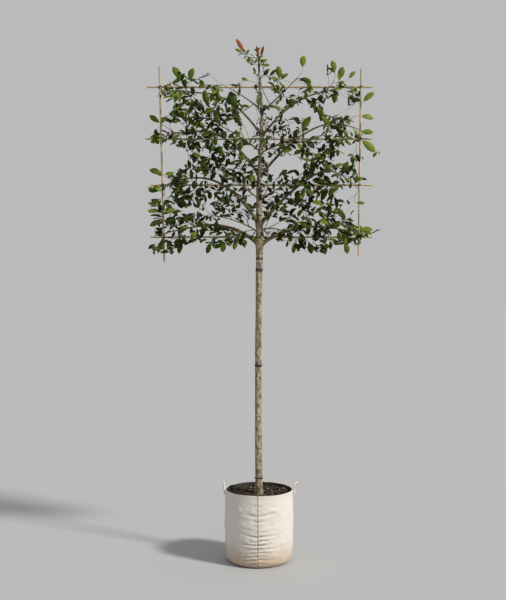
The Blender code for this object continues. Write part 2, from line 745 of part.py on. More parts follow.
class Growth:
    """One mass as it grows: its solids, and the wood that new twigs can start from."""

    def __init__(self, name, clearance):
        self.rng = random.Random(f"{SEED}:{name}")
        self.planes = space_planes(name)
        self.clearance = clearance
        self.solids = []
        self.trees = []
        self.twigs = []
        self.skeleton = []
        self.filled = []
        self.phase = self.rng.uniform(0, math.tau)

    def add_solid(self, shape, tree):
        self.solids.append(shape)
        self.trees.append(tree)

    def crosses(self, tree, parent):
        """Whether a new solid would cut any solid but the one it grows from."""
        return any(tree.overlap(other) for k, other in enumerate(self.trees) if k != parent)

    def add_stem(self, name):
        points, radii = stem_path(name)
        shape = tube(points, radii, 3)
        self.add_solid(shape, BVHTree.FromPolygons(*shape))
        self.skeleton += skeleton_of(points, radii, 2, 0)
        self.filled += points[2:]
        self.twigs.append((points, 0, None))

    def emptiest_point(self):
        """Of several random points in the space, the one farthest from all that has grown."""
        weight = np.array((1.0, DEPTH_WEIGHT, 1.0))
        filled = np.array([tuple(point) for point in self.filled]) * weight
        best, best_score = None, -1.0
        for _ in range(TARGET_TRIES):
            point = random_point(self.planes, self.rng)
            if point is None:
                continue
            score = np.linalg.norm(filled - point * weight, axis=1).min()
            if score > best_score:
                best, best_score = Vector(point), score
        return best

    def add_twig(self, target, heading=None, end_leaf=None):
        """A twig to the target from the first place that lets it through."""
        for start, direction, radius, parent in best_starts(target, self.skeleton):
            reach = (target - start).length
            if heading is None:
                control = start + direction * (TWIG_LEAD * reach) + Vector((0, 0, TWIG_RISE * reach))
            else:
                angle = math.radians(heading)
                tip_way = Vector((math.sin(angle), 0.0, math.cos(angle)))
                control = target - tip_way * min(0.4 * reach, SHOOT_BEND)
            twig = curve_points(start, control, target, TWIG_RINGS)
            root = min(TWIG_ROOT_RADIUS, radius * TWIG_SHARE)
            if self.place_twig(twig, root, parent, end_leaf):
                tip = target + (target - control).normalized() * LEAF_LENGTH / 2
                self.filled += twig[1:] + [tip]
                return

    def place_twig(self, twig, root, parent, end_leaf):
        """Add the twig if it stays in the space, off the limbs and off the other twigs."""
        samples = twig_samples(twig)
        if not inside(self.planes, samples, TWIG_EDGE):
            return False
        if not self.clearance.free(samples[3:], TWIG_ROOT_RADIUS + LIMB_MARGIN):
            return False
        radii = [float(r) for r in np.linspace(root, TWIG_TIP_RADIUS, TWIG_RINGS)]
        shape = tube(twig, radii, 3, self.rng.uniform(0, math.tau))
        tree = BVHTree.FromPolygons(*shape)
        if self.crosses(tree, parent):
            return False
        number = len(self.solids)
        self.skeleton += skeleton_of(twig, radii, 1, number)
        self.twigs.append((twig, number, end_leaf))
        self.add_solid(shape, tree)
        return True

    def add_leaf(self, base, direction, length, parent):
        shape = leaf_shape(base, direction, leaf_facing(direction, self.rng), length)
        if not inside(self.planes, shape[0]):
            return False
        if not self.clearance.free(leaf_samples(shape[0]), LIMB_MARGIN):
            return False
        tree = BVHTree.FromPolygons(*shape)
        if self.crosses(tree, parent):
            return False
        self.add_solid(shape, tree)
        return True

    def dress_twig(self, twig, parent, end_leaf=None):
        """Leaves along one twig; a leaf that doesn't fit is tried again, turned and smaller."""
        for base, tangent, outward in leaf_places(twig, LEAF_STEP, self.phase)[:LEAVES_PER_TWIG]:
            length = LEAF_LENGTH + self.rng.uniform(-1, 1) * LEAF_LENGTH_SPREAD
            for attempt in range(LEAF_TRIES):
                if outward is None:
                    way = tilted(tangent, TIP_TILT * attempt, self.rng)
                    size = end_leaf or length
                else:
                    turn = Matrix.Rotation(self.rng.uniform(-1, 1) * attempt, 3, tangent)
                    spread = math.radians(LEAF_SPREAD_ANGLE + self.rng.uniform(-14, 14))
                    way = tangent * math.cos(spread) + (turn @ outward) * math.sin(spread)
                    size = length
                if self.add_leaf(base, way.normalized(), size * LEAF_SHRINK ** attempt, parent):
                    break


def tilted(direction, degrees, rng):
    side = direction.orthogonal().normalized()
    side = Matrix.Rotation(rng.uniform(0, math.tau), 3, direction) @ side
    return direction * math.cos(math.radians(degrees)) + side * math.sin(math.radians(degrees))


def grow_mass(name, clearance):
    """The solids of one mass: its stem, twigs into whatever space is emptiest, then leaves."""
    growth = Growth(name, clearance)
    growth.add_stem(name)
    for mass, tip, heading, length in SHOOTS:
        if mass == name:
            growth.add_twig(Vector(tip), heading, length)
    for _ in range(TWIG_TRIES):
        target = growth.emptiest_point()
        if target is not None and len(growth.twigs) < TWIGS_PER_MASS:
            growth.add_twig(target)
    for twig, number, end_leaf in reversed(growth.twigs):
        if len(growth.solids) - len(growth.twigs) < LEAVES_PER_MASS:
            growth.dress_twig(twig, number, end_leaf)
    return growth.solids, len(growth.twigs)


# --- foliage: one body per mass ---------------------------------------------------------
def keep_largest_body(thing):
    """Drop loose scraps and the walls of sealed hollows: only the largest body stays."""
    mesh = thing.data
    links = [[] for _ in mesh.vertices]
    for edge in mesh.edges:
        a, b = edge.vertices
        links[a].append(b)
        links[b].append(a)
    body = [-1] * len(mesh.vertices)
    sizes = []
    for first in range(len(body)):
        if body[first] >= 0:
            continue
        body[first] = len(sizes)
        stack = [first]
        count = 0
        while stack:
            vertex = stack.pop()
            count += 1
            for other in links[vertex]:
                if body[other] < 0:
                    body[other] = len(sizes)
                    stack.append(other)
        sizes.append(count)
    if len(sizes) < 2:
        return
    largest = sizes.index(max(sizes))
    keep = [i for i, number in enumerate(body) if number == largest]
    index = {old: new for new, old in enumerate(keep)}
    vertices = [tuple(mesh.vertices[i].co) for i in keep]
    faces = [tuple(index[v] for v in face.vertices) for face in mesh.polygons
             if body[face.vertices[0]] == largest]
    fresh = bpy.data.meshes.new(mesh.name)
    fresh.from_pydata(vertices, [], faces)
    for material in mesh.materials:
        fresh.materials.append(material)
    thing.data = fresh
    bpy.data.meshes.remove(mesh)


def fuse(name, solids, material):
    """One Boolean union of the first solid with a collection of all the others."""
    body = add_object(name, solids[0], material)
    group = bpy.data.collections.new(name + "_pieces")
    bpy.context.scene.collection.children.link(group)
    for number, shape in enumerate(solids[1:]):
        piece = add_object(f"piece_{number}", shape, material)
        bpy.context.scene.collection.objects.unlink(piece)
        group.objects.link(piece)
    join = body.modifiers.new("join", "BOOLEAN")
    join.operation = "UNION"
    join.operand_type = "COLLECTION"
    join.solver = "EXACT"
    join.collection = group
    apply_modifiers(body)
    for piece in list(group.objects):
        bpy.data.objects.remove(piece, do_unlink=True)
    bpy.data.collections.remove(group)
    keep_largest_body(body)
    return body


def make_mass(name, clearance, cutter, material):
    solids, wood = grow_mass(name, clearance)
    body = fuse(name, solids, material)
    if not isinstance(MASSES[name][1], str):
        cut_from(body, cutter)
        keep_largest_body(body)
    return len(solids) - wood, wood


# --- the whole object -------------------------------------------------------------------
def main():
    clear_scene()
    materials = {name: make_material(name) for name in COLOURS}
    make_bag(materials["canvas"])
    make_lining(materials["lining"])
    make_soil(materials["soil"])
    make_rope_loop("handle_left", -1, LOOP_TWIST_LEFT, materials["rope"])
    make_rope_loop("handle_right", 1, LOOP_TWIST_RIGHT, materials["rope"])
    add_object("trunk", trunk_shape(foot=GAP), materials["bark"])
    make_canes(materials["bamboo"])
    make_ties(materials["tie"])
    make_bands(materials["tie"])
    cutter = add_object("trunk_clearance", trunk_shape(grow=GAP), materials["bark"])
    for name in BOUGHS:
        make_bough(name, cutter, materials["bark"])
    clearance = Clearance(limb_segments())
    total = 0
    for name in MASSES:
        kind = "new_leaf" if name == "foliage_5_leader" else "leaf"
        leaves, twigs = make_mass(name, clearance, cutter, materials[kind])
        total += leaves
        print(name, "leaves", leaves, "twigs", twigs)
    print("leaves in all", total)
    bpy.data.objects.remove(cutter, do_unlink=True)


main()
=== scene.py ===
"""Potted espalier photinia: bark, leaves, canes, canvas bag and soil over the fixed frame."""

import math
import random

import bmesh
import bpy
import numpy as np
from mathutils import Matrix, Vector, noise
from mathutils.bvhtree import BVHTree


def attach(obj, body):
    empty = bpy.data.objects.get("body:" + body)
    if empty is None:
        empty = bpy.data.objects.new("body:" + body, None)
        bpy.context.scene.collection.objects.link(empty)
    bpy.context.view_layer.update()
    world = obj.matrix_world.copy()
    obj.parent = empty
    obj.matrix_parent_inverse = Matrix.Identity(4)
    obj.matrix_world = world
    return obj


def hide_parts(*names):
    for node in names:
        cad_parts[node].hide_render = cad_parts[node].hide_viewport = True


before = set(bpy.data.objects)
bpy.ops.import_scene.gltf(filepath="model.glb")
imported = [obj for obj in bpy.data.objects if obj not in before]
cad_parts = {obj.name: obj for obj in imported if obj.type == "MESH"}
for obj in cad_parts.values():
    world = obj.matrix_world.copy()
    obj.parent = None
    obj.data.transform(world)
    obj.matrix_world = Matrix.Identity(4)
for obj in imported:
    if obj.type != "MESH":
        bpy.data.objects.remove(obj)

bl_info = {
    "name": "Potted espalier photinia",
    "version": (1, 0, 0),
    "blender": (4, 5, 0),
    "location": "View3D > Sidebar > Espalier",
    "description": "Dresses the frame of a potted, trained evergreen tree",
    "category": "Object",
}

SEED = 4127
GOLDEN_ANGLE = math.radians(137.5)

# --- bag, as in the frame ---------------------------------------------------------------
BAG_RADII = ((0.038, 0.1905), (0.10, 0.1945), (0.21, 0.1970), (0.32, 0.1960), (0.405, 0.1925))
BAG_HEIGHT = BAG_RADII[-1][0]
BAG_CORNER = BAG_RADII[0][0]
BAG_FLOOR_RADIUS = BAG_RADII[0][1] - BAG_CORNER
BAG_SIDES = 300
BAG_CUTS = 190
SEAM_DETAIL = 0.32      # how much closer the wall's sides stand near its two seams
CORNER_SHARE = 0.14     # share of the wall's rings that go round the lower edge
CLOTH = 0.0026
CLOTH_DEPTH = 0.318     # the canvas reaches down inside to this height, under the soil
CLOTH_SINK = 0.0012     # the canvas's outside lies this far inside the frame's wall
HEM_DEPTH = 0.018
STITCH_FOOT = 0.034     # the seams' first stitch
STITCH_PITCH = 0.0090
STITCH_LENGTH = 0.0048
HEM_STITCHES = 150
SEAM_ANGLE = math.radians(-92.3)
SEAMS = ((SEAM_ANGLE, 1.0), (SEAM_ANGLE + math.pi, 0.8))    # angle, depth of the creases
SEAM_SPAN = 0.28        # creases reach no farther from a seam, along the cloth
LINING_TOP = 0.4045
LINING_FOOT = 0.330
LINING_INSET = 0.0056   # from the bag's outside
SOIL_TOP = 0.373
ROPE_RADIUS = 0.0042
ROPE_STEPS = 120
ROPE_TURNS = 9
LOOP_WIDTH = 0.036
LOOP_HEIGHT = 0.066
LOOP_FOOT = 0.376
LOOP_TWIST = {-1: 0.008, 1: 0.032}

# --- trunk, as in the frame -------------------------------------------------------------
TRUNK_RADII = (
    (0.373, 0.0275), (0.395, 0.0232), (0.45, 0.0205), (0.80, 0.0187), (1.50, 0.0180),
    (1.74, 0.0188), (1.80, 0.0220), (1.86, 0.0205), (2.00, 0.0165), (2.15, 0.0135),
    (2.40, 0.0098), (2.70, 0.0075), (2.825, 0.0045))
TRUNK_SWAY = (
    (0.373, 0.000), (0.80, -0.004), (1.30, -0.003), (1.81, 0.003), (2.12, -0.001),
    (2.39, 0.013), (2.57, 0.017), (2.71, 0.008), (2.825, -0.001))
TRUNK_FOOT = TRUNK_RADII[0][0]
TRUNK_TOP = TRUNK_RADII[-1][0]
TRUNK_BACK = 0.0222
TRUNK_SIDES = 44
TRUNK_CUTS = 420
TRUNK_KNOTS = 17
LEAN_START = 1.55
LEAN_END = 1.80

# --- bamboo frame, as in the frame ------------------------------------------------------
CANE_RADIUS = 0.0055
CANE_SIDES = 14
CANE_RING_STEP = 0.004
JOINT_RADIUS = CANE_RADIUS * 1.15       # round a cane's joints
TIE_RADIUS = CANE_RADIUS * 2.6          # round a wire tie
SIDES = ("left", "right")
RAIL_HEIGHTS = (1.844, 2.143, 2.408, 2.706)
RAIL_LEFT = (-0.622, -0.622, -0.652, -0.643)
RAIL_RIGHT = 0.652
POST_TOPS = {"left": (-0.571, 2.823), "right": (0.586, 2.810)}
POST_FEET = {"left": (-0.543, 1.703), "right": (0.571, 1.735)}
RAIL_Y = TRUNK_BACK + 0.0003 + CANE_RADIUS
POST_Y = RAIL_Y - 2 * CANE_RADIUS - 0.0003
BAND_HEIGHTS = (0.468, 1.109, 1.655, 1.720)
BAND_WIDTHS = (0.010, 0.014, 0.016, 0.008)
BAND_THICKNESS = 0.0022
BAND_LAP = math.radians(-50)

# --- boughs and masses, as in the frame -------------------------------------------------
BOUGHS = {
    "bough_1_left": (1.800, 40, (-0.330, -0.020, 1.905), 0.0115, 0.0058),
    "bough_1_right": (1.795, 36, (0.335, -0.018, 1.900), 0.0115, 0.0058),
    "bough_2_left": (1.915, 58, (-0.325, 0.000, 2.180), 0.0100, 0.0052),
    "bough_2_right": (1.905, 52, (0.330, -0.004, 2.205), 0.0100, 0.0052),
    "bough_3_left": (2.190, 58, (-0.320, -0.012, 2.445), 0.0082, 0.0048),
    "bough_3_right": (2.180, 54, (0.335, -0.010, 2.470), 0.0082, 0.0048),
    "bough_4_left": (2.425, 56, (-0.320, -0.004, 2.665), 0.0066, 0.0042),
    "bough_4_right": (2.415, 54, (0.325, -0.008, 2.660), 0.0066, 0.0042),
}
BOUGH_POINTS = 6
BOUGH_SIDES = 18
BOUGH_RINGS = 60
# centre of the mass's space, what carries its stem, the stem's far end, twigs grown here
MASSES = {
    "foliage_1_left_outer": ((-0.490, -0.015, 1.870), "bough_1_left", (-0.585, -0.020, 1.850), 39),
    "foliage_1_left_inner": ((-0.190, 0.010, 1.905), 1.865, (-0.265, -0.060, 1.960), 28),
    "foliage_1_right_inner": ((0.170, -0.015, 1.880), 1.870, (0.225, -0.062, 1.820), 28),
    "foliage_1_right_outer": ((0.480, 0.005, 1.880), "bough_1_right", (0.600, -0.020, 1.860), 39),
    "foliage_2_left_outer": ((-0.450, 0.012, 2.135), "bough_2_left", (-0.570, -0.020, 2.120), 34),
    "foliage_2_left_inner": ((-0.170, -0.020, 2.150), 2.060, (-0.200, -0.065, 2.210), 34),
    "foliage_2_right_inner": ((0.150, 0.012, 2.140), 2.050, (0.190, -0.060, 2.150), 31),
    "foliage_2_right_outer": ((0.455, -0.018, 2.150), "bough_2_right", (0.570, -0.020, 2.110), 36),
    "foliage_3_left_outer": ((-0.480, -0.020, 2.400), "bough_3_left", (-0.570, -0.020, 2.400), 34),
    "foliage_3_left_inner": ((-0.185, 0.012, 2.425), 2.330, (-0.240, -0.055, 2.480), 36),
    "foliage_3_right_inner": ((0.175, -0.010, 2.400), 2.320, (0.215, -0.065, 2.365), 26),
    "foliage_3_right_outer": ((0.490, 0.010, 2.415), "bough_3_right", (0.600, -0.020, 2.440), 28),
    "foliage_4_left_outer": ((-0.450, 0.015, 2.660), "bough_4_left", (-0.555, -0.015, 2.680), 31),
    "foliage_4_left_inner": ((-0.170, -0.015, 2.690), 2.570, (-0.200, -0.045, 2.700), 23),
    "foliage_4_right_inner": ((0.155, 0.015, 2.660), 2.560, (0.215, -0.045, 2.740), 23),
    "foliage_4_right_outer": ((0.450, -0.012, 2.670), "bough_4_right", (0.540, -0.020, 2.700), 23),
    "foliage_5_leader": ((-0.015, 0.000, 2.960), "trunk", (-0.012, -0.010, 2.900), 12),
}
# named shoots: foot of the end leaf, its heading from straight up, its length, its kind
SHOOTS = {
    "foliage_1_left_inner": (
        ((-0.125, -0.03, 1.83), 182, 0.066, "mid"),
        ((-0.2, -0.025, 1.822), 170, 0.07, "mid"),
        ((-0.275, -0.025, 1.812), 184, 0.07, "deep"),
    ),
    "foliage_1_left_outer": (
        ((-0.555, -0.03, 1.815), 190, 0.07, "mid"),
        ((-0.549, -0.022, 1.931), -119, 0.08, "mid"),
        ((-0.45, -0.025, 1.812), 176, 0.068, "deep"),
    ),
    "foliage_1_right_inner": (
        ((0.28, -0.03, 1.812), 176, 0.072, "deep"),
        ((0.2, -0.025, 1.808), 188, 0.062, "mid"),
    ),
    "foliage_1_right_outer": (
        ((0.566, -0.02, 1.88), 86, 0.082, "light"),
        ((0.49, -0.02, 1.815), 172, 0.072, "mid"),
        ((0.375, -0.03, 1.805), 184, 0.06, "deep"),
    ),
    "foliage_2_left_outer": (
        ((-0.549, -0.018, 2.194), -60, 0.084, "mid"),
        ((-0.56, -0.02, 2.06), -108, 0.072, "mid"),
        ((-0.56, -0.01, 2.11), -92, 0.072, "deep"),
    ),
    "foliage_2_right_outer": (
        ((0.575, -0.016, 2.29), 88, 0.08, "light"),
        ((0.55, -0.02, 2.036), 125, 0.076, "mid"),
        ((0.47, -0.02, 2.19), 6, 0.09, "mid"),
    ),
    "foliage_3_left_outer": (
        ((-0.562, -0.022, 2.49), -57, 0.076, "mid"),
        ((-0.56, -0.018, 2.405), -122, 0.08, "mid"),
    ),
    "foliage_3_right_inner": (
        ((0.24, -0.03, 2.44), 24, 0.105, "mid"),
    ),
    "foliage_3_right_outer": (
        ((0.577, -0.018, 2.531), 108, 0.08, "light"),
        ((0.577, -0.026, 2.44), 85, 0.074, "light"),
        ((0.583, -0.012, 2.395), 121, 0.106, "light"),
        ((0.405, -0.035, 2.47), -30, 0.098, "mid"),
    ),
    "foliage_4_left_inner": (
        ((-0.018, -0.022, 2.77), -28, 0.042, "deep"),
        ((-0.06, -0.02, 2.732), -74, 0.044, "mid"),
        ((-0.131, -0.03, 2.56), 2, 0.116, "deep"),
        ((-0.29, -0.03, 2.58), 14, 0.1, "mid"),
    ),
    "foliage_4_left_outer": (
        ((-0.446, -0.02, 2.731), -22, 0.096, "mid"),
        ((-0.394, -0.008, 2.731), 8, 0.082, "mid"),
    ),
    "foliage_4_right_inner": (
        ((0.03, -0.02, 2.772), 68, 0.042, "mid"),
        ((0.06, -0.018, 2.752), 112, 0.052, "light"),
        ((0.249, -0.012, 2.806), -3, 0.08, "light"),
        ((0.12, -0.02, 2.742), -28, 0.075, "mid"),
        ((0.13, -0.01, 2.745), 42, 0.05, "mid"),
    ),
    "foliage_4_right_outer": (
        ((0.431, -0.02, 2.778), -20, 0.074, "mid"),
        ((0.457, -0.008, 2.737), 2, 0.084, "mid"),
        ((0.51, -0.018, 2.742), 32, 0.062, "light"),
        ((0.59, -0.015, 2.61), 30, 0.09, "light"),
    ),
    "foliage_5_leader": (
        ((-0.081, -0.01, 2.888), -18, 0.1, "new"),
        ((0.0, -0.012, 2.868), -17, 0.066, "new"),
        ((0.009, -0.003, 2.868), 14, 0.068, "new"),
        ((-0.092, -0.016, 2.888), -56, 0.052, "light"),
        ((-0.074, 0.0, 2.886), 50, 0.036, "light"),
        ((-0.06, -0.01, 2.836), 16, 0.038, "mid"),
        ((0.013, -0.01, 2.834), 48, 0.042, "light"),
        ((0.02, 0.006, 2.828), 78, 0.044, "mid"),
        ((-0.024, -0.018, 2.828), -24, 0.034, "mid"),
    ),
}
# places where the sky shows through the crown: x, z, half width, half height
OPENINGS = (
    (0.595, 2.775, 0.13, 0.08), (0.24, 2.825, 0.115, 0.07), (0.12, 2.865, 0.085, 0.06),
    (-0.195, 2.828, 0.12, 0.065), (-0.365, 2.835, 0.13, 0.06), (-0.59, 2.79, 0.125, 0.085),
    (-0.16, 2.75, 0.06, 0.02), (0.51, 2.84, 0.12, 0.04), (0.375, 2.735, 0.08, 0.03),
    (-0.635, 2.69, 0.05, 0.08), (-0.62, 2.585, 0.13, 0.06), (-0.635, 2.505, 0.05, 0.08),
    (0.625, 2.555, 0.11, 0.07), (0.7, 2.65, 0.12, 0.08), (0.61, 2.475, 0.11, 0.025),
    (-0.54, 2.295, 0.135, 0.08), (-0.525, 2.475, 0.11, 0.02), (-0.635, 2.175, 0.1, 0.035),
    (-0.61, 2.085, 0.11, 0.022), (-0.63, 1.905, 0.045, 0.04), (-0.645, 1.83, 0.09, 0.026),
    (0.67, 2.235, 0.12, 0.07), (0.635, 2.085, 0.12, 0.08), (0.64, 1.965, 0.11, 0.07),
    (0.7, 1.79, 0.12, 0.08), (0.51, 1.74, 0.12, 0.06), (0.275, 1.715, 0.13, 0.045),
    (0.04, 1.755, 0.12, 0.075), (-0.15, 1.715, 0.12, 0.08), (-0.35, 1.735, 0.11, 0.08),
    (-0.57, 1.7, 0.12, 0.05), (0.085, 1.91, 0.085, 0.025), (-0.065, 1.9, 0.05, 0.026),
    (-0.065, 2.65, 0.045, 0.055), (0.055, 2.64, 0.055, 0.037), (0.185, 2.715, 0.037, 0.055),
    (-0.055, 2.545, 0.06, 0.035), (0.48, 2.615, 0.03, 0.08), (0.325, 2.46, 0.043, 0.037),
    (0.095, 2.26, 0.045, 0.045), (-0.055, 2.325, 0.043, 0.023), (-0.035, 2.07, 0.03, 0.031),
    (0.31, 2.53, 0.03, 0.03), (-0.165, 2.683, 0.043, 0.023), (0.47, 2.29, 0.054, 0.02),
    (-0.39, 1.998, 0.045, 0.02), (-0.06, 2.742, 0.07, 0.026), (0.409, 2.58, 0.04, 0.04),
    (0.591, 2.34, 0.08, 0.029), (0.477, 2.089, 0.051, 0.029), (0.18, 2.271, 0.063, 0.04),
    (0.226, 2.557, 0.08, 0.029), (-0.243, 2.74, 0.08, 0.029), (-0.06, 2.454, 0.04, 0.04),
    (0.031, 2.694, 0.029, 0.051), (0.66, 2.409, 0.07, 0.026), (0.489, 2.351, 0.034, 0.023),
    (-0.289, 1.997, 0.023, 0.034), (0.5, 1.997, 0.023, 0.034), (-0.163, 1.929, 0.051, 0.029),
    (-0.323, 2.66, 0.023, 0.034), (-0.163, 2.466, 0.034, 0.023),
)
OPENING_SHARE = 0.15    # share of a leaf that may stand in an opening
EYE = (-0.034, -5.0, 1.483)
CROWN_LEFT = -0.632
CROWN_RIGHT = 0.682
CROWN_FOOT = 1.738
CROWN_TOP = 2.992
CROWN_SHOULDER = 2.895
CROWN_FRONT = -0.165
CROWN_BACK = 0.150
SPACE_OVERLAP = 0.015   # finer twigs reach this far past the space of their own mass
LIMB_MARGIN = 0.0025
LIMB_FOOT = 1.60        # nothing grows below this height
TRUNK_SPANS = 15
TWIG_TRIES = 4          # tries for every twig wanted
TARGET_TRIES = 10
TWIG_DEPTH = 0.095
TWIG_INSET = 0.012
TWIG_CEILING = 2.760
DEPTH_WEIGHT = 0.5
START_TRIES = 3
NAMED_TRIES = 10
SHORTEST_TWIG = 0.025
TURN_COST = 0.6
SHOOT_BEND = 0.06
TWIG_SHARE = 0.62
TWIG_ROOT_RADIUS = 0.0026
TWIG_TIP_RADIUS = 0.0009
TWIG_SIDES = 5
TWIG_POINTS = 6
STEM_POINTS = 9
STEM_TIP_RADIUS = 0.0022
SIDE_STEM_RADIUS = 0.0050
LEAF_WIDEST = 0.58
LEAF_SPREAD_ANGLE = 54
LEAF_SLIM = (0.36, 0.48)        # width against length
NEW_SLIM = 0.24
LEAF_TRIES = 4
LEAF_SHRINK = 0.90
TIP_TILT = 22
LEAST_LEAVES = 20       # a mass with fewer has failed
TIP_LEAVES = 3          # leaves round a twig's end, with the end leaf
BARE_SHARE = 0.22
LEADER_FOOT = CROWN_SHOULDER - 0.13
LEADER_LEAVES = 0.52    # size of the leaves round the leader's tip, against the rest
FLATTEN = 0.75
LEAF_KINDS = ("shade", "deep", "mid", "light", "new")


# --- settings ---------------------------------------------------------------------------
def colour_prop(name, description, default):
    return bpy.props.FloatVectorProperty(
        name=name, description=description, subtype="COLOR", size=3, min=0, max=1, default=default)


def length_prop(name, description, default, least=0.0, most=10.0):
    return bpy.props.FloatProperty(
        name=name, description=description, unit="LENGTH", default=default, min=least, max=most)


class EspalierWoodSettings(bpy.types.PropertyGroup):
    bark_pale: colour_prop("Pale bark", "Dry, sunlit patches of the bark", (0.47, 0.40, 0.285))
    bark_dark: colour_prop("Dark bark", "Cracks and damp patches", (0.105, 0.078, 0.046))
    bark_olive: colour_prop("Olive bark", "Thin green film on the bark", (0.20, 0.19, 0.095))
    relief: length_prop("Bark relief", "Depth of the bark's ridges", 0.0011, 0, 0.004)


class EspalierLeafSettings(bpy.types.PropertyGroup):
    length: length_prop("Leaf length", "Mean length of a leaf with its stalk", 0.055, 0.03, 0.15)
    spread: length_prop("Length spread", "How far lengths stray from the mean", 0.020, 0, 0.04)
    step: length_prop("Leaf step", "Distance between leaves along a twig", 0.020, 0.01, 0.06)
    # dealt out by place in spray_kind, these greens hold the leaves' age and also painted light
    # toward the crown's top and sides and painted shade inside it
    shade: colour_prop("Shade green", "Leaves deep in the crown", (0.018, 0.030, 0.003))
    deep: colour_prop("Deep green", "Old leaves", (0.038, 0.062, 0.005))
    mid: colour_prop("Mid green", "Grown leaves", (0.090, 0.130, 0.009))
    light: colour_prop("Light green", "Leaves of this season", (0.140, 0.195, 0.018))
    new: colour_prop("New growth", "Red leaves that have just opened", (0.25, 0.066, 0.018))


class EspalierFrameSettings(bpy.types.PropertyGroup):
    straw: colour_prop("Bamboo", "Dry cane", (0.62, 0.48, 0.27))
    weathered: colour_prop("Weathered bamboo", "Grey and brown patches", (0.25, 0.18, 0.10))
    tie: colour_prop("Tie", "Rubber straps and wire", (0.016, 0.015, 0.014))


class EspalierBagSettings(bpy.types.PropertyGroup):
    canvas: colour_prop("Canvas", "Clean cotton canvas", (0.73, 0.69, 0.645))
    stain: colour_prop("Stain", "Soil and water marks", (0.40, 0.27, 0.14))
    wrinkle: length_prop("Wrinkle depth", "Depth of the creases at the seam", 0.0078, 0.0001, 0.012)
    lining: colour_prop("Lining", "Black woven lining", (0.015, 0.016, 0.019))
    rope: colour_prop("Rope", "Cotton rope", (0.78, 0.74, 0.65))


class EspalierSoilSettings(bpy.types.PropertyGroup):
    dark: colour_prop("Dark soil", "Moist compost", (0.009, 0.006, 0.0045))
    brown: colour_prop("Brown soil", "Drier compost", (0.034, 0.022, 0.014))
    chips: bpy.props.IntProperty(
        name="Bits", description="Bits of bark, wood and grit on the soil", default=2300, min=0,
        max=6000)


class EspalierStageSettings(bpy.types.PropertyGroup):
    floor: colour_prop("Floor", "Plain pale floor", (0.415, 0.422, 0.435))
    camera_height: length_prop("Camera height", "Eye height", 1.483)
    camera_distance: length_prop("Camera distance", "From the trunk", 5.0, 1.0, 100.0)
    camera_side: length_prop("Camera side", "Right of the trunk", -0.034, -10.0)
    lens: bpy.props.FloatProperty(
        name="Lens", description="Focal length", unit="CAMERA", default=52.5)


# --- modelling helpers ------------------------------------------------------------------
def deselect_all():
    if bpy.context.object and bpy.context.object.mode != "OBJECT":
        bpy.ops.object.mode_set(mode="OBJECT")
    bpy.ops.object.select_all(action="DESELECT")


def make_active(piece):
    """Select this piece alone and make it the active one."""
    deselect_all()
    piece.select_set(True)
    bpy.context.view_layer.objects.active = piece


def take(name):
    """The object that the last operator made, under its own name."""
    piece = bpy.context.object
    piece.name = name
    piece.data.name = name
    return piece


def tube_blank(name, sides, cuts, capped=True):
    """A unit tube, from z 0 to 1, with level rings to shape."""
    deselect_all()
    bpy.ops.mesh.primitive_cylinder_add(
        vertices=sides, radius=1.0, depth=1.0, location=(0, 0, 0.5),
        end_fill_type="NGON" if capped else "NOTHING")
    piece = take(name)
    bpy.ops.object.transform_apply(location=True, rotation=False, scale=False)
    bpy.ops.object.mode_set(mode="EDIT")
    bpy.ops.mesh.select_mode(type="EDGE")
    bpy.ops.mesh.select_all(action="DESELECT")
    shape = bmesh.from_edit_mesh(piece.data)
    for edge in shape.edges:
        low, high = (vertex.co.z for vertex in edge.verts)
        edge.select = abs(high - low) > 0.5
    bmesh.update_edit_mesh(piece.data)
    bpy.ops.mesh.subdivide(number_cuts=cuts)
    bpy.ops.object.mode_set(mode="OBJECT")
    return piece


def move_vertices(piece, place):
    """Move every vertex of a tube blank: place(angle, share) gives its new position."""
    for vertex in piece.data.vertices:
        x, y, z = vertex.co
        vertex.co = place(math.atan2(y, x), min(max(z, 0.0), 1.0))
    piece.data.update()


def merge_and_face_out(piece, distance=0.00005):
    """Join vertices that meet and turn every face outwards."""
    make_active(piece)
    bpy.ops.object.mode_set(mode="EDIT")
    bpy.ops.mesh.select_all(action="SELECT")
    bpy.ops.mesh.remove_doubles(threshold=distance)
    bpy.ops.mesh.normals_make_consistent(inside=False)
    bpy.ops.object.mode_set(mode="OBJECT")


def shade(piece, angle):
    """Smooth shading, with edges sharper than the angle in degrees left hard."""
    make_active(piece)
    bpy.ops.object.shade_smooth_by_angle(angle=math.radians(angle))


def add_modifier(piece, kind, **values):
    """Add a modifier and apply it."""
    make_active(piece)
    modifier = piece.modifiers.new(kind.title(), kind)
    for key, value in values.items():
        setattr(modifier, key, value)
    bpy.ops.object.modifier_apply(modifier=modifier.name)


def mesh_piece(name, vertices, faces):
    """A joined mesh from arrays, for shapes that repeat many times."""
    mesh = bpy.data.meshes.new(name)
    mesh.from_pydata([tuple(map(float, vertex)) for vertex in vertices], [], faces)
    piece = bpy.data.objects.new(name, mesh)
    bpy.context.scene.collection.objects.link(piece)
    return piece


def check_closed(piece):
    """Raise an error for a piece that is empty or has an open border."""
    mesh = piece.data
    if not len(mesh.polygons):
        raise RuntimeError(f"{piece.name} has no faces")
    edges = np.empty(len(mesh.loops), np.int32)
    mesh.loops.foreach_get("edge_index", edges)
    if (np.bincount(edges, minlength=len(mesh.edges)) != 2).any():
        raise RuntimeError(f"{piece.name} is not closed")


def finish_piece(piece, material, slot, *nodes):
    """Material, body and the nodes that the piece stands for; the slot is not used."""
    check_closed(piece)
    if material is not None:
        piece.data.materials.clear()
        piece.data.materials.append(material)
    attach(piece, "root")
    if nodes:
        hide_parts(*nodes)


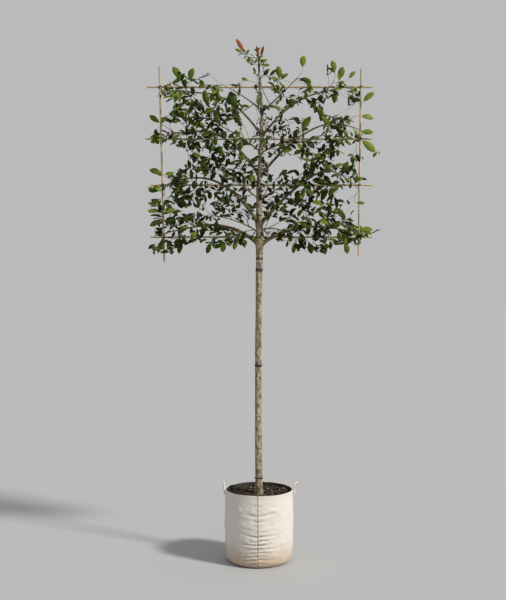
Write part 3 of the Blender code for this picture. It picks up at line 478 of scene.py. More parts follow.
def join_copies(name, blanks, placements):
    """One mesh of many copies; a placement is (blank number, 3 x 3 matrix, position)."""
    vertices, loops, starts, kinds, data = [], [], [], [], []
    offset = 0
    loop_offset = 0
    for blank in blanks:
        mesh = blank.data
        points = np.array([tuple(vertex.co) for vertex in mesh.vertices])
        corner = np.array([loop.vertex_index for loop in mesh.loops])
        start = np.array([face.loop_start for face in mesh.polygons])
        kind = np.array([face.material_index for face in mesh.polygons])
        data.append((points, corner, start, kind))
    for number, matrix, position in placements:
        points, corner, start, kind = data[number]
        vertices.append(points @ np.array(matrix).T + np.array(position))
        loops.append(corner + offset)
        starts.append(start + loop_offset)
        kinds.append(kind)
        offset += len(points)
        loop_offset += len(corner)
    vertices = np.concatenate(vertices)
    loops = np.concatenate(loops)
    starts = np.concatenate(starts)
    mesh = bpy.data.meshes.new(name)
    mesh.vertices.add(len(vertices))
    mesh.vertices.foreach_set("co", vertices.ravel())
    mesh.loops.add(len(loops))
    mesh.loops.foreach_set("vertex_index", loops)
    mesh.polygons.add(len(starts))
    mesh.polygons.foreach_set("loop_start", starts)
    mesh.polygons.foreach_set("material_index", np.concatenate(kinds))
    mesh.update(calc_edges=True)
    mesh.validate()
    mesh.polygons.foreach_set("use_smooth", [True] * len(mesh.polygons))
    piece = bpy.data.objects.new(name, mesh)
    bpy.context.scene.collection.objects.link(piece)
    return piece


def remove(*pieces):
    """Delete blanks once their copies are made."""
    for piece in pieces:
        bpy.data.objects.remove(piece, do_unlink=True)


# --- shader helpers ---------------------------------------------------------------------
class Nodes:
    """A node tree that is written in order, from its inputs to its output."""

    def __init__(self, tree):
        self.tree = tree

    def add(self, kind, **inputs):
        node = self.tree.nodes.new(kind)
        for key, value in inputs.items():
            self.set(node, key, value)
        return node

    def plug(self, socket, value):
        if isinstance(value, bpy.types.NodeSocket):
            self.tree.links.new(value, socket)
        else:
            socket.default_value = value

    def set(self, node, key, value):
        """Set the input of that name, or else the node's own property."""
        names = [key, key.replace("_", " "), key.replace("_", " ").title()]
        socket = next((s for s in node.inputs if s.name in names and s.enabled), None)
        if socket is None:
            setattr(node, key, value)
        else:
            self.plug(socket, value)

    def math(self, operation, a, b=0.0, clamp=False):
        node = self.add("ShaderNodeMath", operation=operation, use_clamp=clamp)
        self.plug(node.inputs[0], a)
        self.plug(node.inputs[1], b)
        return node.outputs[0]

    def times(self, a, b):
        return self.math("MULTIPLY", a, b)

    def rest(self, mask):
        return self.math("SUBTRACT", 1.0, mask)

    def mix(self, factor, a, b):
        node = self.add("ShaderNodeMix", data_type="RGBA")
        self.plug(node.inputs[0], factor)
        for index, value in ((6, a), (7, b)):
            if not isinstance(value, bpy.types.NodeSocket):
                value = (*value[:3], 1.0)
            self.plug(node.inputs[index], value)
        return node.outputs[2]

    def ramp(self, factor, low, high):
        """A soft step: 0 below low, 1 above high."""
        return self.add("ShaderNodeMapRange", interpolation_type="SMOOTHSTEP", Value=factor,
                        From_Min=low, From_Max=high).outputs["Result"]

    def scaled(self, vector, scale):
        node = self.add("ShaderNodeVectorMath", operation="MULTIPLY")
        self.plug(node.inputs[0], vector)
        self.plug(node.inputs[1], scale)
        return node.outputs[0]

    def noise(self, vector, scale, detail=4.0, rough=0.55):
        return self.add("ShaderNodeTexNoise", Vector=vector, Scale=scale, Detail=detail,
                        Roughness=rough).outputs["Fac"]


def new_group(name, inputs, outputs):
    """A shader node group with its sockets: its tree's Nodes, its start and its end."""
    group = bpy.data.node_groups.new(name, "ShaderNodeTree")
    for key, kind, default in inputs:
        socket = group.interface.new_socket(name=key, in_out="INPUT", socket_type=kind)
        if default is not None:
            socket.default_value = default
    for key, kind in outputs:
        group.interface.new_socket(name=key, in_out="OUTPUT", socket_type=kind)
    nodes = Nodes(group)
    start = group.nodes.new("NodeGroupInput")
    end = group.nodes.new("NodeGroupOutput")
    return nodes, start, end


def mottle_group():
    """Broad patches and a fine grain in one mask, with a height from both for bumps."""
    name = "mottle"
    if name in bpy.data.node_groups:
        return bpy.data.node_groups[name]
    nodes, start, end = new_group(
        name,
        [("Vector", "NodeSocketVector", None), ("Scale", "NodeSocketFloat", 20.0),
         ("Fine Scale", "NodeSocketFloat", 300.0)],
        [("Mask", "NodeSocketFloat"), ("Height", "NodeSocketFloat")])
    where = start.outputs["Vector"]
    broad = nodes.noise(where, start.outputs["Scale"], 5.0, 0.62)
    fine = nodes.noise(where, start.outputs["Fine Scale"], 3.0, 0.5)
    grit = nodes.times(nodes.math("SUBTRACT", fine, 0.5), 0.5)
    mask = nodes.math("ADD", nodes.ramp(broad, 0.36, 0.64), grit, clamp=True)
    nodes.plug(end.inputs["Mask"], mask)
    height = nodes.math("ADD", nodes.times(broad, 0.5),
                        nodes.times(fine, 0.5))
    nodes.plug(end.inputs["Height"], height)
    return nodes.tree


def weave_group():
    """Plain weave on a map in metres: over and under threads, with uneven yarn."""
    name = "weave"
    if name in bpy.data.node_groups:
        return bpy.data.node_groups[name]
    nodes, start, end = new_group(
        name,
        [("Vector", "NodeSocketVector", None), ("Pitch", "NodeSocketFloat", 0.0012)],
        [("Height", "NodeSocketFloat"), ("Mask", "NodeSocketFloat")])
    split = nodes.add("ShaderNodeSeparateXYZ", Vector=start.outputs["Vector"])
    waves = []
    for axis in ("X", "Y"):
        turns = nodes.math("DIVIDE", split.outputs[axis], start.outputs["Pitch"])
        waves.append(nodes.math("SINE", nodes.times(turns, math.tau)))
    height = nodes.times(waves[0], waves[1])
    yarn = nodes.noise(nodes.scaled(start.outputs["Vector"], (1.0, 6.0, 1.0)), 260.0, 2.0)
    cross = nodes.noise(nodes.scaled(start.outputs["Vector"], (6.0, 1.0, 1.0)), 260.0, 2.0)
    uneven = nodes.math("ADD", yarn, cross)
    threads = nodes.math("ADD", nodes.times(height, 0.35), uneven)
    nodes.plug(end.inputs["Height"], threads)
    nodes.plug(end.inputs["Mask"], nodes.times(uneven, 0.5))
    return nodes.tree


def place_group(nodes, group, **inputs):
    """Put a node group into a material, with its own values."""
    node = nodes.tree.nodes.new("ShaderNodeGroup")
    node.node_tree = group
    for key, value in inputs.items():
        nodes.set(node, key, value)
    return node


def mottle(nodes, where, scale, fine):
    """Patches and a fine grain over the surface: the mask and the height."""
    node = place_group(nodes, mottle_group(), Vector=where, Scale=scale, Fine_Scale=fine)
    return node.outputs["Mask"], node.outputs["Height"]


def new_material(name, roughness, specular=0.5):
    """A material, the Nodes of its tree and its shader."""
    material = bpy.data.materials.new(name)
    material.use_nodes = True
    shader = material.node_tree.nodes["Principled BSDF"]
    shader.inputs["Roughness"].default_value = roughness
    shader.inputs["Specular IOR Level"].default_value = specular
    return material, Nodes(material.node_tree), shader


def bump(nodes, shader, height, distance, strength=1.0):
    """Relief in the surface's shading, from a height."""
    node = nodes.add("ShaderNodeBump", Height=height, Distance=distance, Strength=strength)
    nodes.plug(shader.inputs["Normal"], node.outputs["Normal"])


def object_coordinates(nodes):
    return nodes.add("ShaderNodeTexCoord").outputs["Object"]


def paint(nodes, shader, colour):
    nodes.plug(shader.inputs["Base Color"], colour)


def dimmed(colour, share):
    return [channel * share for channel in colour]


def mottled_material(name, finish, tones, scales, relief):
    """Two tones in patches with a bump; finish and relief are as in new_material and bump."""
    material, nodes, shader = new_material(name, *finish)
    patches, height = mottle(nodes, object_coordinates(nodes), *scales)
    paint(nodes, shader, nodes.mix(patches, *tones))
    bump(nodes, shader, height, *relief)
    return material


# --- materials --------------------------------------------------------------------------
YOUNG_BARK = (0.200, 0.165, 0.065)
# share of the bark's colours on the boughs: painted shade of the leaves over them
BOUGH_PAINTED_SHADE = (0.46, 0.38, 0.26)
WORN_CANVAS = (0.60, 0.56, 0.48)
SEAM_SHADE = (0.16, 0.12, 0.08)
CREASE_SHADE = (0.19, 0.145, 0.105)
DIRT = (0.20, 0.14, 0.08)
GRIT = (0.16, 0.11, 0.07)
SEAM_THREAD = (0.060, 0.042, 0.028)
HEM_THREAD = (0.66, 0.61, 0.52)
LEAF_ROUGHNESS = {"shade": 0.55, "deep": 0.48, "mid": 0.48, "light": 0.50, "new": 0.52}


def bark_material(settings, name="bark", painted_shade=(1.0, 1.0, 1.0)):
    material, nodes, shader = new_material(name, 0.82, 0.3)
    where = object_coordinates(nodes)
    patches, grit = mottle(nodes, nodes.scaled(where, (1.0, 1.0, 0.55)), 75.0, 420.0)
    # painted_shade darkens both bark colours, as painted shade on the boughs; the trunk gets none
    pale, dark = ([channel * share for channel, share in zip(colour, painted_shade)]
                  for colour in (settings.bark_pale, settings.bark_dark))
    colour = nodes.mix(patches, dark, pale)
    film = nodes.ramp(nodes.noise(where, 9.0, 3.0), 0.46, 0.66)
    colour = nodes.mix(nodes.times(film, 0.40), colour, settings.bark_olive)
    pores = nodes.noise(nodes.scaled(where, (150.0, 150.0, 330.0)), 1.0, 1.0)
    spots = nodes.ramp(pores, 0.58, 0.66)
    colour = nodes.mix(nodes.times(spots, 0.75), colour, dark)
    paint(nodes, shader, colour)
    cracks = nodes.noise(nodes.scaled(where, (1.0, 1.0, 0.16)), 230.0, 4.0, 0.6)
    bump(nodes, shader, nodes.math("ADD", grit, cracks), 0.0012, 0.8)
    return material


def leaf_material(name, colour, roughness):
    """One plain colour, as it is dealt out by spray, under an uneven waxy skin."""
    material, nodes, shader = new_material(name, roughness, 0.12)
    shader.inputs["Base Color"].default_value = (*colour, 1.0)
    _, skin = mottle(nodes, object_coordinates(nodes), 90.0, 500.0)
    bump(nodes, shader, skin, 0.0004, 0.4)
    return material


def twig_material(settings):
    return mottled_material("twig bark", (0.7, 0.35), (settings.bark_dark, YOUNG_BARK),
                            (70.0, 600.0), (0.0005, 0.6))


def bamboo_material(settings):
    material, nodes, shader = new_material("bamboo", 0.5, 0.45)
    where = object_coordinates(nodes)
    patches, fibres = mottle(nodes, where, 7.0, 240.0)
    colour = nodes.mix(nodes.times(patches, 0.55), settings.straw, settings.weathered)
    streaks = nodes.noise(nodes.scaled(where, (1.0, 14.0, 1.0)), 60.0, 3.0)
    colour = nodes.mix(nodes.ramp(streaks, 0.58, 0.78), colour, settings.weathered)
    paint(nodes, shader, colour)
    bump(nodes, shader, fibres, 0.0004, 0.5)
    return material


def rubber_material(settings):
    dusty = [channel + 0.025 for channel in settings.tie]
    return mottled_material("tie rubber", (0.55, 0.5), (settings.tie, dusty), (60.0, 500.0),
                            (0.0004, 0.5))


def canvas_material(settings):
    """Cotton canvas: woven, water marked, and stained where it meets the ground."""
    material, nodes, shader = new_material("canvas", 0.92, 0.2)
    cloth = nodes.add("ShaderNodeUVMap").outputs["UV"]
    where = object_coordinates(nodes)
    weave = place_group(nodes, weave_group(), Vector=cloth, Pitch=0.0016)
    colour = nodes.mix(weave.outputs["Mask"], dimmed(settings.canvas, 0.86), settings.canvas)
    worn, _ = mottle(nodes, where, 11.0, 160.0)
    colour = nodes.mix(nodes.times(worn, 0.16), colour, WORN_CANVAS)
    arc = nodes.add("ShaderNodeSeparateXYZ", Vector=cloth).outputs["X"]
    height = nodes.add("ShaderNodeSeparateXYZ", Vector=where).outputs["Z"]
    count = nodes.math("DIVIDE", nodes.math("SUBTRACT", height, STITCH_FOOT), STITCH_PITCH)
    off = nodes.math("ABSOLUTE", nodes.math("SUBTRACT", nodes.math("FRACT", count), 0.5))
    dashes = nodes.times(nodes.ramp(off, 0.16, 0.26), 0.95)
    for seam, _ in SEAMS:
        away = nodes.math("ABSOLUTE", nodes.math("SUBTRACT", arc, seam * BAG_RADII[2][1]))
        line = nodes.rest(nodes.ramp(away, 0.0018, 0.0040))
        colour = nodes.mix(nodes.times(line, dashes), colour, SEAM_SHADE)
    hollow = nodes.add("ShaderNodeAttribute", attribute_name="hollow").outputs["Fac"]
    hollow = nodes.times(nodes.ramp(hollow, 0.05, 0.50), 0.85)
    colour = nodes.mix(hollow, colour, CREASE_SHADE)
    ragged = nodes.noise(where, 14.0, 5.0, 0.65)
    edge = nodes.math("ADD", height, nodes.times(ragged, -0.14))
    low = nodes.rest(nodes.ramp(edge, -0.075, 0.095))
    colour = nodes.mix(nodes.times(low, 0.72), colour, settings.stain)
    speck = nodes.ramp(nodes.noise(where, 62.0, 4.0, 0.7), 0.62, 0.74)
    near_ground = nodes.rest(nodes.ramp(height, 0.02, 0.16))
    dirt = nodes.times(nodes.times(speck, near_ground), 0.6)
    colour = nodes.mix(dirt, colour, DIRT)
    paint(nodes, shader, colour)
    bump(nodes, shader, weave.outputs["Height"], 0.0005, 0.5)
    shader.inputs["Sheen Weight"].default_value = 0.15
    return material


def lining_material(settings):
    material, nodes, shader = new_material("woven lining", 0.62, 0.4)
    cloth = nodes.add("ShaderNodeUVMap").outputs["UV"]
    weave = place_group(nodes, weave_group(), Vector=cloth, Pitch=0.0030)
    worn = [channel + 0.045 for channel in settings.lining]
    colour = nodes.mix(weave.outputs["Mask"], settings.lining, worn)
    paint(nodes, shader, colour)
    bump(nodes, shader, weave.outputs["Height"], 0.0008, 0.6)
    return material


def thread_material(name, colour):
    return mottled_material(name, (0.85, 0.25), (dimmed(colour, 0.68), colour),
                            (160.0, 1400.0), (0.0005, 0.7))


def soil_material(settings):
    material, nodes, shader = new_material("soil", 0.95, 0.25)
    where = object_coordinates(nodes)
    clods, lumps = mottle(nodes, where, 42.0, 320.0)
    colour = nodes.mix(clods, settings.dark, settings.brown)
    grit = nodes.ramp(nodes.noise(where, 330.0, 2.0), 0.66, 0.74)
    colour = nodes.mix(grit, colour, GRIT)
    paint(nodes, shader, colour)
    bump(nodes, shader, lumps, 0.004, 0.9)
    return material


def bit_material(name, colour):
    return mottled_material(name, (0.88, 0.3), (dimmed(colour, 0.5), colour),
                            (110.0, 900.0), (0.0010, 0.7))


def floor_material(settings):
    material, nodes, shader = new_material("floor", 0.9, 0.2)
    tone = nodes.noise(object_coordinates(nodes), 0.8, 2.0)
    paint(nodes, shader, nodes.mix(tone, dimmed(settings.floor, 0.985), settings.floor))
    return material


# --- limbs ------------------------------------------------------------------------------
def interpolate(table, value):
    """The value of a table of pairs, in straight lines between its rows."""
    return float(np.interp(value, [row[0] for row in table], [row[1] for row in table]))


def smooth_step(value, start, end):
    """0 before the start, 1 past the end, and smooth between."""
    share = min(max((value - start) / (end - start), 0.0), 1.0)
    return share * share * (3 - 2 * share)


def trunk_radius(height):
    return interpolate(TRUNK_RADII, height)


def trunk_centre(height):
    """The trunk's middle: up in the crown its back keeps to one plane, against the rails."""
    lean = smooth_step(height, LEAN_START, LEAN_END)
    return Vector((interpolate(TRUNK_SWAY, height),
                   lean * (TRUNK_BACK - trunk_radius(height)), height))


def curve_points(start, control, end, count):
    """Points on a curve that leaves the start toward the control point."""
    start, control, end = Vector(start), Vector(control), Vector(end)
    points = []
    for step in range(count):
        t = step / (count - 1)
        points.append(start * (1 - t) ** 2 + control * (2 * t * (1 - t)) + end * t ** 2)
    return points


def bough_ends(name):
    height, rise, tip, root_radius, tip_radius = BOUGHS[name]
    start = trunk_centre(height)
    tip = Vector(tip)
    reach = 0.48 * abs(tip.x - start.x)
    side = math.copysign(1.0, tip.x)
    control = start + Vector((side * reach, -0.010, reach * math.tan(math.radians(rise))))
    return start, control, tip, root_radius, tip_radius


def bough_path(name, count=BOUGH_POINTS):
    """Points along a bough's middle, and its radius at each."""
    start, control, tip, root_radius, tip_radius = bough_ends(name)
    points = curve_points(start, control, tip, count)
    return points, [float(radius) for radius in np.linspace(root_radius, tip_radius, count)]


def frames_along(points):
    """The points, and at each two directions square to the way, without twist."""
    points = [Vector(point) for point in points]
    tangents = []
    for i in range(len(points)):
        before = points[max(i - 1, 0)]
        after = points[min(i + 1, len(points) - 1)]
        tangents.append((after - before).normalized())
    helper = Vector((0, 1, 0)) if abs(tangents[0].y) < 0.9 else Vector((1, 0, 0))
    across = tangents[0].cross(helper).normalized()
    result = []
    for tangent in tangents:
        across = (across - tangent * across.dot(tangent)).normalized()
        result.append((across, tangent.cross(across).normalized()))
    return points, result


def grain(*place):
    """Smooth noise from -1 to 1 at a place."""
    return noise.noise(Vector(place))


def bark_relief(angle, along, radius, depth):
    """Shallow ridges, wandering swellings and rows of pores, as a change of radius."""
    x, y = math.cos(angle), math.sin(angle)
    ridge = grain(x * 5.5, y * 5.5, along * 16.0)
    fine = grain(x * 14.0, y * 14.0, along * 70.0)
    swell = grain(x * 0.9 + 7.0, y * 0.9, along * 5.5)
    ring = grain(x * 2.0, y * 2.0 + 3.0, along * 150.0)
    return depth * (0.9 * ridge + 0.55 * fine + 0.35 * ring) + radius * 0.055 * swell


def make_trunk(settings, material):
    """The trunk: bark, knots, a collar at each bough and the flare at its foot."""
    blank = tube_blank("trunk_bark", TRUNK_SIDES, TRUNK_CUTS)
    span = TRUNK_TOP - TRUNK_FOOT
    rng = random.Random(f"{SEED}:knots")
    knots = []
    for _ in range(TRUNK_KNOTS):
        knots.append((rng.uniform(0.52, 1.72), rng.uniform(-math.pi, math.pi),
                      rng.uniform(0.0011, 0.0024), rng.uniform(0.008, 0.014)))
    collars = [(BOUGHS[name][0] + 0.012, 0.0 if BOUGHS[name][2][0] > 0 else math.pi,
                0.0022, 0.020) for name in BOUGHS]

    def place(angle, share):
        height = TRUNK_FOOT + 0.0003 + share * (span - 0.0003)
        centre = trunk_centre(height)
        radius = trunk_radius(height)
        swell = bark_relief(angle, height, radius, settings.relief)
        for level, side, rise, size in knots + collars:
            turn = math.remainder(angle - side, math.tau) * radius
            far = ((height - level) / size) ** 2 + (turn / size) ** 2
            if far < 9:
                swell += rise * math.exp(-far)
        foot = math.exp(-(height - TRUNK_FOOT) / 0.02)
        swell += foot * (0.0018 * math.sin(angle * 4 + 0.8) - 0.0030)
        reach = radius + swell
        return (centre.x + reach * math.cos(angle), centre.y + reach * math.sin(angle), height)

    move_vertices(blank, place)
    shade(blank, 60)
    finish_piece(blank, material, "bark", "trunk")


def make_bough(name, settings, material):
    """A bough with bark and a thicker collar where it leaves the trunk."""
    blank = tube_blank(name + "_bark", BOUGH_SIDES, BOUGH_RINGS - 2)
    points, radii = bough_path(name, BOUGH_RINGS)
    points, frames = frames_along(points)
    lengths = [0.0]
    for a, b in zip(points, points[1:]):
        lengths.append(lengths[-1] + (b - a).length)

    def place(angle, share):
        i = round(share * (BOUGH_RINGS - 1))
        across, over = frames[i]
        radius = radii[i]
        collar = 0.0036 * math.exp(-((lengths[i] - trunk_radius(points[0].z)) / 0.016) ** 2)
        along = lengths[i] + points[0].z * 3
        swell = bark_relief(angle, along, radius, settings.relief * 0.7) + collar
        reach = radius + swell
        return points[i] + reach * (math.cos(angle) * across + math.sin(angle) * over)

    move_vertices(blank, place)
    merge_and_face_out(blank)
    shade(blank, 60)
    finish_piece(blank, material, "bark", name)


class ESPALIER_OT_wood(bpy.types.Operator):
    """Trunk and boughs with their bark"""
    bl_idname = "espalier.wood"
    bl_label = "Trunk and boughs"

    def execute(self, context):
        settings = context.scene.espalier_wood
        material = bark_material(settings)
        make_trunk(settings, material)
        # the boughs' bark is darkened as painted shade
        material = bark_material(settings, "bough bark", BOUGH_PAINTED_SHADE)
        for name in BOUGHS:
            make_bough(name, settings, material)
        return {"FINISHED"}


# --- foliage: spaces and clearances -----------------------------------------------------
def space_planes(name):
    """The mass's space as half-spaces (normal, limit): its share of the crown's box."""
    centre = np.array(MASSES[name][0])
    top = CROWN_TOP if name == "foliage_5_leader" else CROWN_SHOULDER
    planes = [((-1, 0, 0), -CROWN_LEFT), ((1, 0, 0), CROWN_RIGHT), ((0, -1, 0), -CROWN_FRONT),
              ((0, 1, 0), CROWN_BACK), ((0, 0, -1), -CROWN_FOOT), ((0, 0, 1), top)]
    planes = [(np.array(normal, float), limit) for normal, limit in planes]
    for other, row in MASSES.items():
        if other == name:
            continue
        way = np.array(row[0]) - centre
        distance = np.linalg.norm(way)
        normal = way / distance
        planes.append((normal, float(normal @ centre) + distance / 2 + SPACE_OVERLAP))
    return planes


def inside(planes, points, margin=0.0006):
    """Whether all the points lie in the space."""
    points = np.asarray(points, float)
    return all(float((points @ normal).max()) <= limit - margin for normal, limit in planes)


def share_in_openings(points):
    """Share of the points that stand in an opening, as seen from in front."""
    eye = np.array(EYE)
    way = np.asarray(points, float) - eye
    seen = eye + way * (-EYE[1] / way[:, 1:2])
    covered = np.zeros(len(seen), bool)
    for x, z, half_width, half_height in OPENINGS:
        covered |= ((seen[:, 0] - x) / half_width) ** 2 + ((seen[:, 2] - z) / half_height) ** 2 < 1
    return float(covered.mean())


def post_x(side, height):
    """Where an upright stands at this height."""
    (foot_x, foot_z), (top_x, top_z) = POST_FEET[side], POST_TOPS[side]
    return foot_x + (top_x - foot_x) * (height - foot_z) / (top_z - foot_z)


def cane_lines():
    """The rails and uprights: name, start, end and seed."""
    rows = [(f"rail_{number}", (left, RAIL_Y, height), (RAIL_RIGHT, RAIL_Y, height), number)
            for number, (height, left) in enumerate(zip(RAIL_HEIGHTS, RAIL_LEFT), 1)]
    for side in SIDES:
        (foot_x, foot_z), (top_x, top_z) = POST_FEET[side], POST_TOPS[side]
        rows.append((f"upright_{side}", (foot_x, POST_Y, foot_z), (top_x, POST_Y, top_z), 5))
    return rows


def limb_segments():
    """Every limb, cane and tie as (start, end, radius)."""
    segments = []
    heights = [float(height) for height in np.linspace(LIMB_FOOT, TRUNK_TOP, TRUNK_SPANS + 1)]
    for low, high in zip(heights, heights[1:]):
        radius = max(trunk_radius(low), trunk_radius(high))
        segments.append((trunk_centre(low), trunk_centre(high), radius))
    for name in BOUGHS:
        points, radii = bough_path(name)
        for a, b, radius in zip(points, points[1:], radii):
            segments.append((a, b, radius))
    for _, start, end, _ in cane_lines():
        segments.append((start, end, JOINT_RADIUS))
    for height in RAIL_HEIGHTS:
        for side in SIDES:
            x = post_x(side, height)
            segments.append(((x, POST_Y, height), (x, RAIL_Y, height), TIE_RADIUS))
    return segments


class Clearance:
    """Distances from points to the limbs."""

    def __init__(self, segments):
        self.start = np.array([tuple(row[0]) for row in segments])
        self.way = np.array([tuple(row[1]) for row in segments]) - self.start
        self.length2 = (self.way ** 2).sum(1)
        self.radius = np.array([row[2] for row in segments])

    def free(self, points, margin):
        points = np.asarray(points, float)
        offset = points[:, None, :] - self.start[None]
        share = np.clip((offset * self.way[None]).sum(2) / self.length2, 0, 1)
        away = offset - share[..., None] * self.way[None]
        distance = np.sqrt((away ** 2).sum(2)) - self.radius
        return float(distance.min()) > margin


# --- foliage: twigs and leaves ----------------------------------------------------------
def tube(points, radii, sides, phase=0.0):
    """Vertices and faces of a closed tapering tube."""
    points, frames = frames_along(points)
    vertices = []
    for point, radius, (across, over) in zip(points, radii, frames):
        for k in range(sides):
            angle = phase + math.tau * k / sides
            vertices.append(point + radius * (math.cos(angle) * across + math.sin(angle) * over))
    faces = []
    for ring in range(len(points) - 1):
        for k in range(sides):
            a = ring * sides + k
            b = ring * sides + (k + 1) % sides
            faces.append((a, b, b + sides, a + sides))
    faces.append(tuple(reversed(range(sides))))
    last = (len(points) - 1) * sides
    faces.append(tuple(range(last, last + sides)))
    return vertices, faces


def leaf_outline(base, direction, facing, length, width):
    """A leaf as two folded halves, for the tests of where it fits."""
    across = direction.cross(facing).normalized()
    facing = across.cross(direction).normalized()
    half = across * (width / 2)
    low = base + direction * (length * 0.30)
    high = base + direction * (length * 0.82)
    lift = facing * (length * 0.07)
    vertices = [base, low - half * 0.75 + lift, high - half * 0.75 + lift,
                base + direction * length, high + half * 0.75 + lift, low + half * 0.75 + lift]
    middle = base + direction * (length * LEAF_WIDEST)
    vertices += [middle - half + lift, middle + half + lift]
    faces = [(0, 1, 6, 2, 3), (0, 3, 4, 7, 5)]
    return vertices, faces


def leaf_samples(vertices):
    """Points all over a leaf, for its distance from the wood."""
    corners = np.array([tuple(vertex) for vertex in vertices])
    root, tip = corners[0], corners[3]
    points = []
    for t in np.linspace(0.15, 1.0, 12):
        points.append(root + (tip - root) * t)
    for corner in corners[[1, 2, 4, 5, 6, 7]]:
        for t in (0.35, 0.7, 1.0):
            points.append(root + (corner - root) * t)
            points.append(tip + (corner - tip) * t)
    return np.array(points)


def leaf_facing(direction, rng, frontal):
    """Leaves turn their upper face to the sky and to the front, as the rails hold them."""
    if frontal:
        want = Vector((rng.uniform(-0.25, 0.25), -1.0, 0.3))
    else:
        want = Vector((rng.uniform(-0.7, 0.7), -0.70 + rng.uniform(-0.5, 0.5), 0.72))
    facing = want - direction * want.dot(direction)
    return facing.normalized() if facing.length > 0.05 else direction.orthogonal().normalized()


def tilted(direction, degrees, rng):
    """The direction, leant over to a random side."""
    side = direction.orthogonal().normalized()
    side = Matrix.Rotation(rng.uniform(0, math.tau), 3, direction) @ side
    return direction * math.cos(math.radians(degrees)) + side * math.sin(math.radians(degrees))


def leaf_places(twig, spacing, phase):
    """Leaf roots, the twig's direction there and the way out, spiralling down from the tip."""
    lengths = [(b - a).length for a, b in zip(twig, twig[1:])]
    total = sum(lengths)
    tangent = (twig[-1] - twig[-2]).normalized()
    rows = [(twig[-1] - tangent * 0.001, tangent, None)]
    for k in range(int(total / spacing) + TIP_LEAVES):
        along = total - 0.003 - max(0.0, k - TIP_LEAVES + 2.0) * spacing
        if along < BARE_SHARE * total:
            break
        index = 0
        while index < len(lengths) - 1 and along > lengths[index]:
            along -= lengths[index]
            index += 1
        tangent = (twig[index + 1] - twig[index]).normalized()
        side = tangent.orthogonal().normalized()
        angle = phase + k * GOLDEN_ANGLE
        outward = side * math.cos(angle) + tangent.cross(side) * math.sin(angle)
        outward = Vector((outward.x, outward.y * FLATTEN, outward.z)).normalized()
        rows.append((twig[index] + tangent * along, tangent, outward))
    return rows


def stem_path(name):
    """The mass's stem: from its bough's tip, from the trunk's side or from the trunk's tip."""
    _, carrier, end, _ = MASSES[name]
    end = Vector(end)
    if carrier == "trunk":
        start = trunk_centre(TRUNK_TOP)
        direction = Vector((0, 0, 1))
        root_radius = TRUNK_RADII[-1][1]
    elif isinstance(carrier, str):
        points, radii = bough_path(carrier, 40)
        start = points[-1]
        direction = (points[-1] - points[-2]).normalized()
        root_radius = radii[-1]
    else:
        start = trunk_centre(carrier)
        side = math.copysign(1.0, end.x)
        direction = Vector((side, -0.55, 0.75)).normalized()
        root_radius = SIDE_STEM_RADIUS
    reach = (end - start).length
    control = start + direction * (0.45 * reach)
    points = curve_points(start, control, end, STEM_POINTS)
    radii = np.linspace(root_radius, STEM_TIP_RADIUS, STEM_POINTS)
    return points, [float(radius) for radius in radii]


def skeleton_of(points, radii, first, number):
    rows = []
    for i in range(first, len(points)):
        before = points[max(i - 1, 0)]
        after = points[min(i + 1, len(points) - 1)]
        rows.append((points[i], (after - before).normalized(), radii[i], number))
    return rows


def best_starts(target, skeleton, tries):
    """The places on the wood from which a twig reaches the target at the easiest angles."""
    ranked = []
    for number, place in enumerate(skeleton):
        way = target - place[0]
        length = way.length
        if length < SHORTEST_TWIG:
            continue
        turn = math.acos(max(-1.0, min(1.0, way.dot(place[1]) / length)))
        ranked.append((length * (1.0 + TURN_COST * turn ** 2), number))
    return [skeleton[number] for _, number in sorted(ranked)[:tries]]


def ball_round(points):
    """Centre and radius of a ball that holds the points."""
    points = np.asarray(points, float)
    centre = (points.min(0) + points.max(0)) / 2
    return np.array((*centre, np.linalg.norm(points - centre, axis=1).max()))


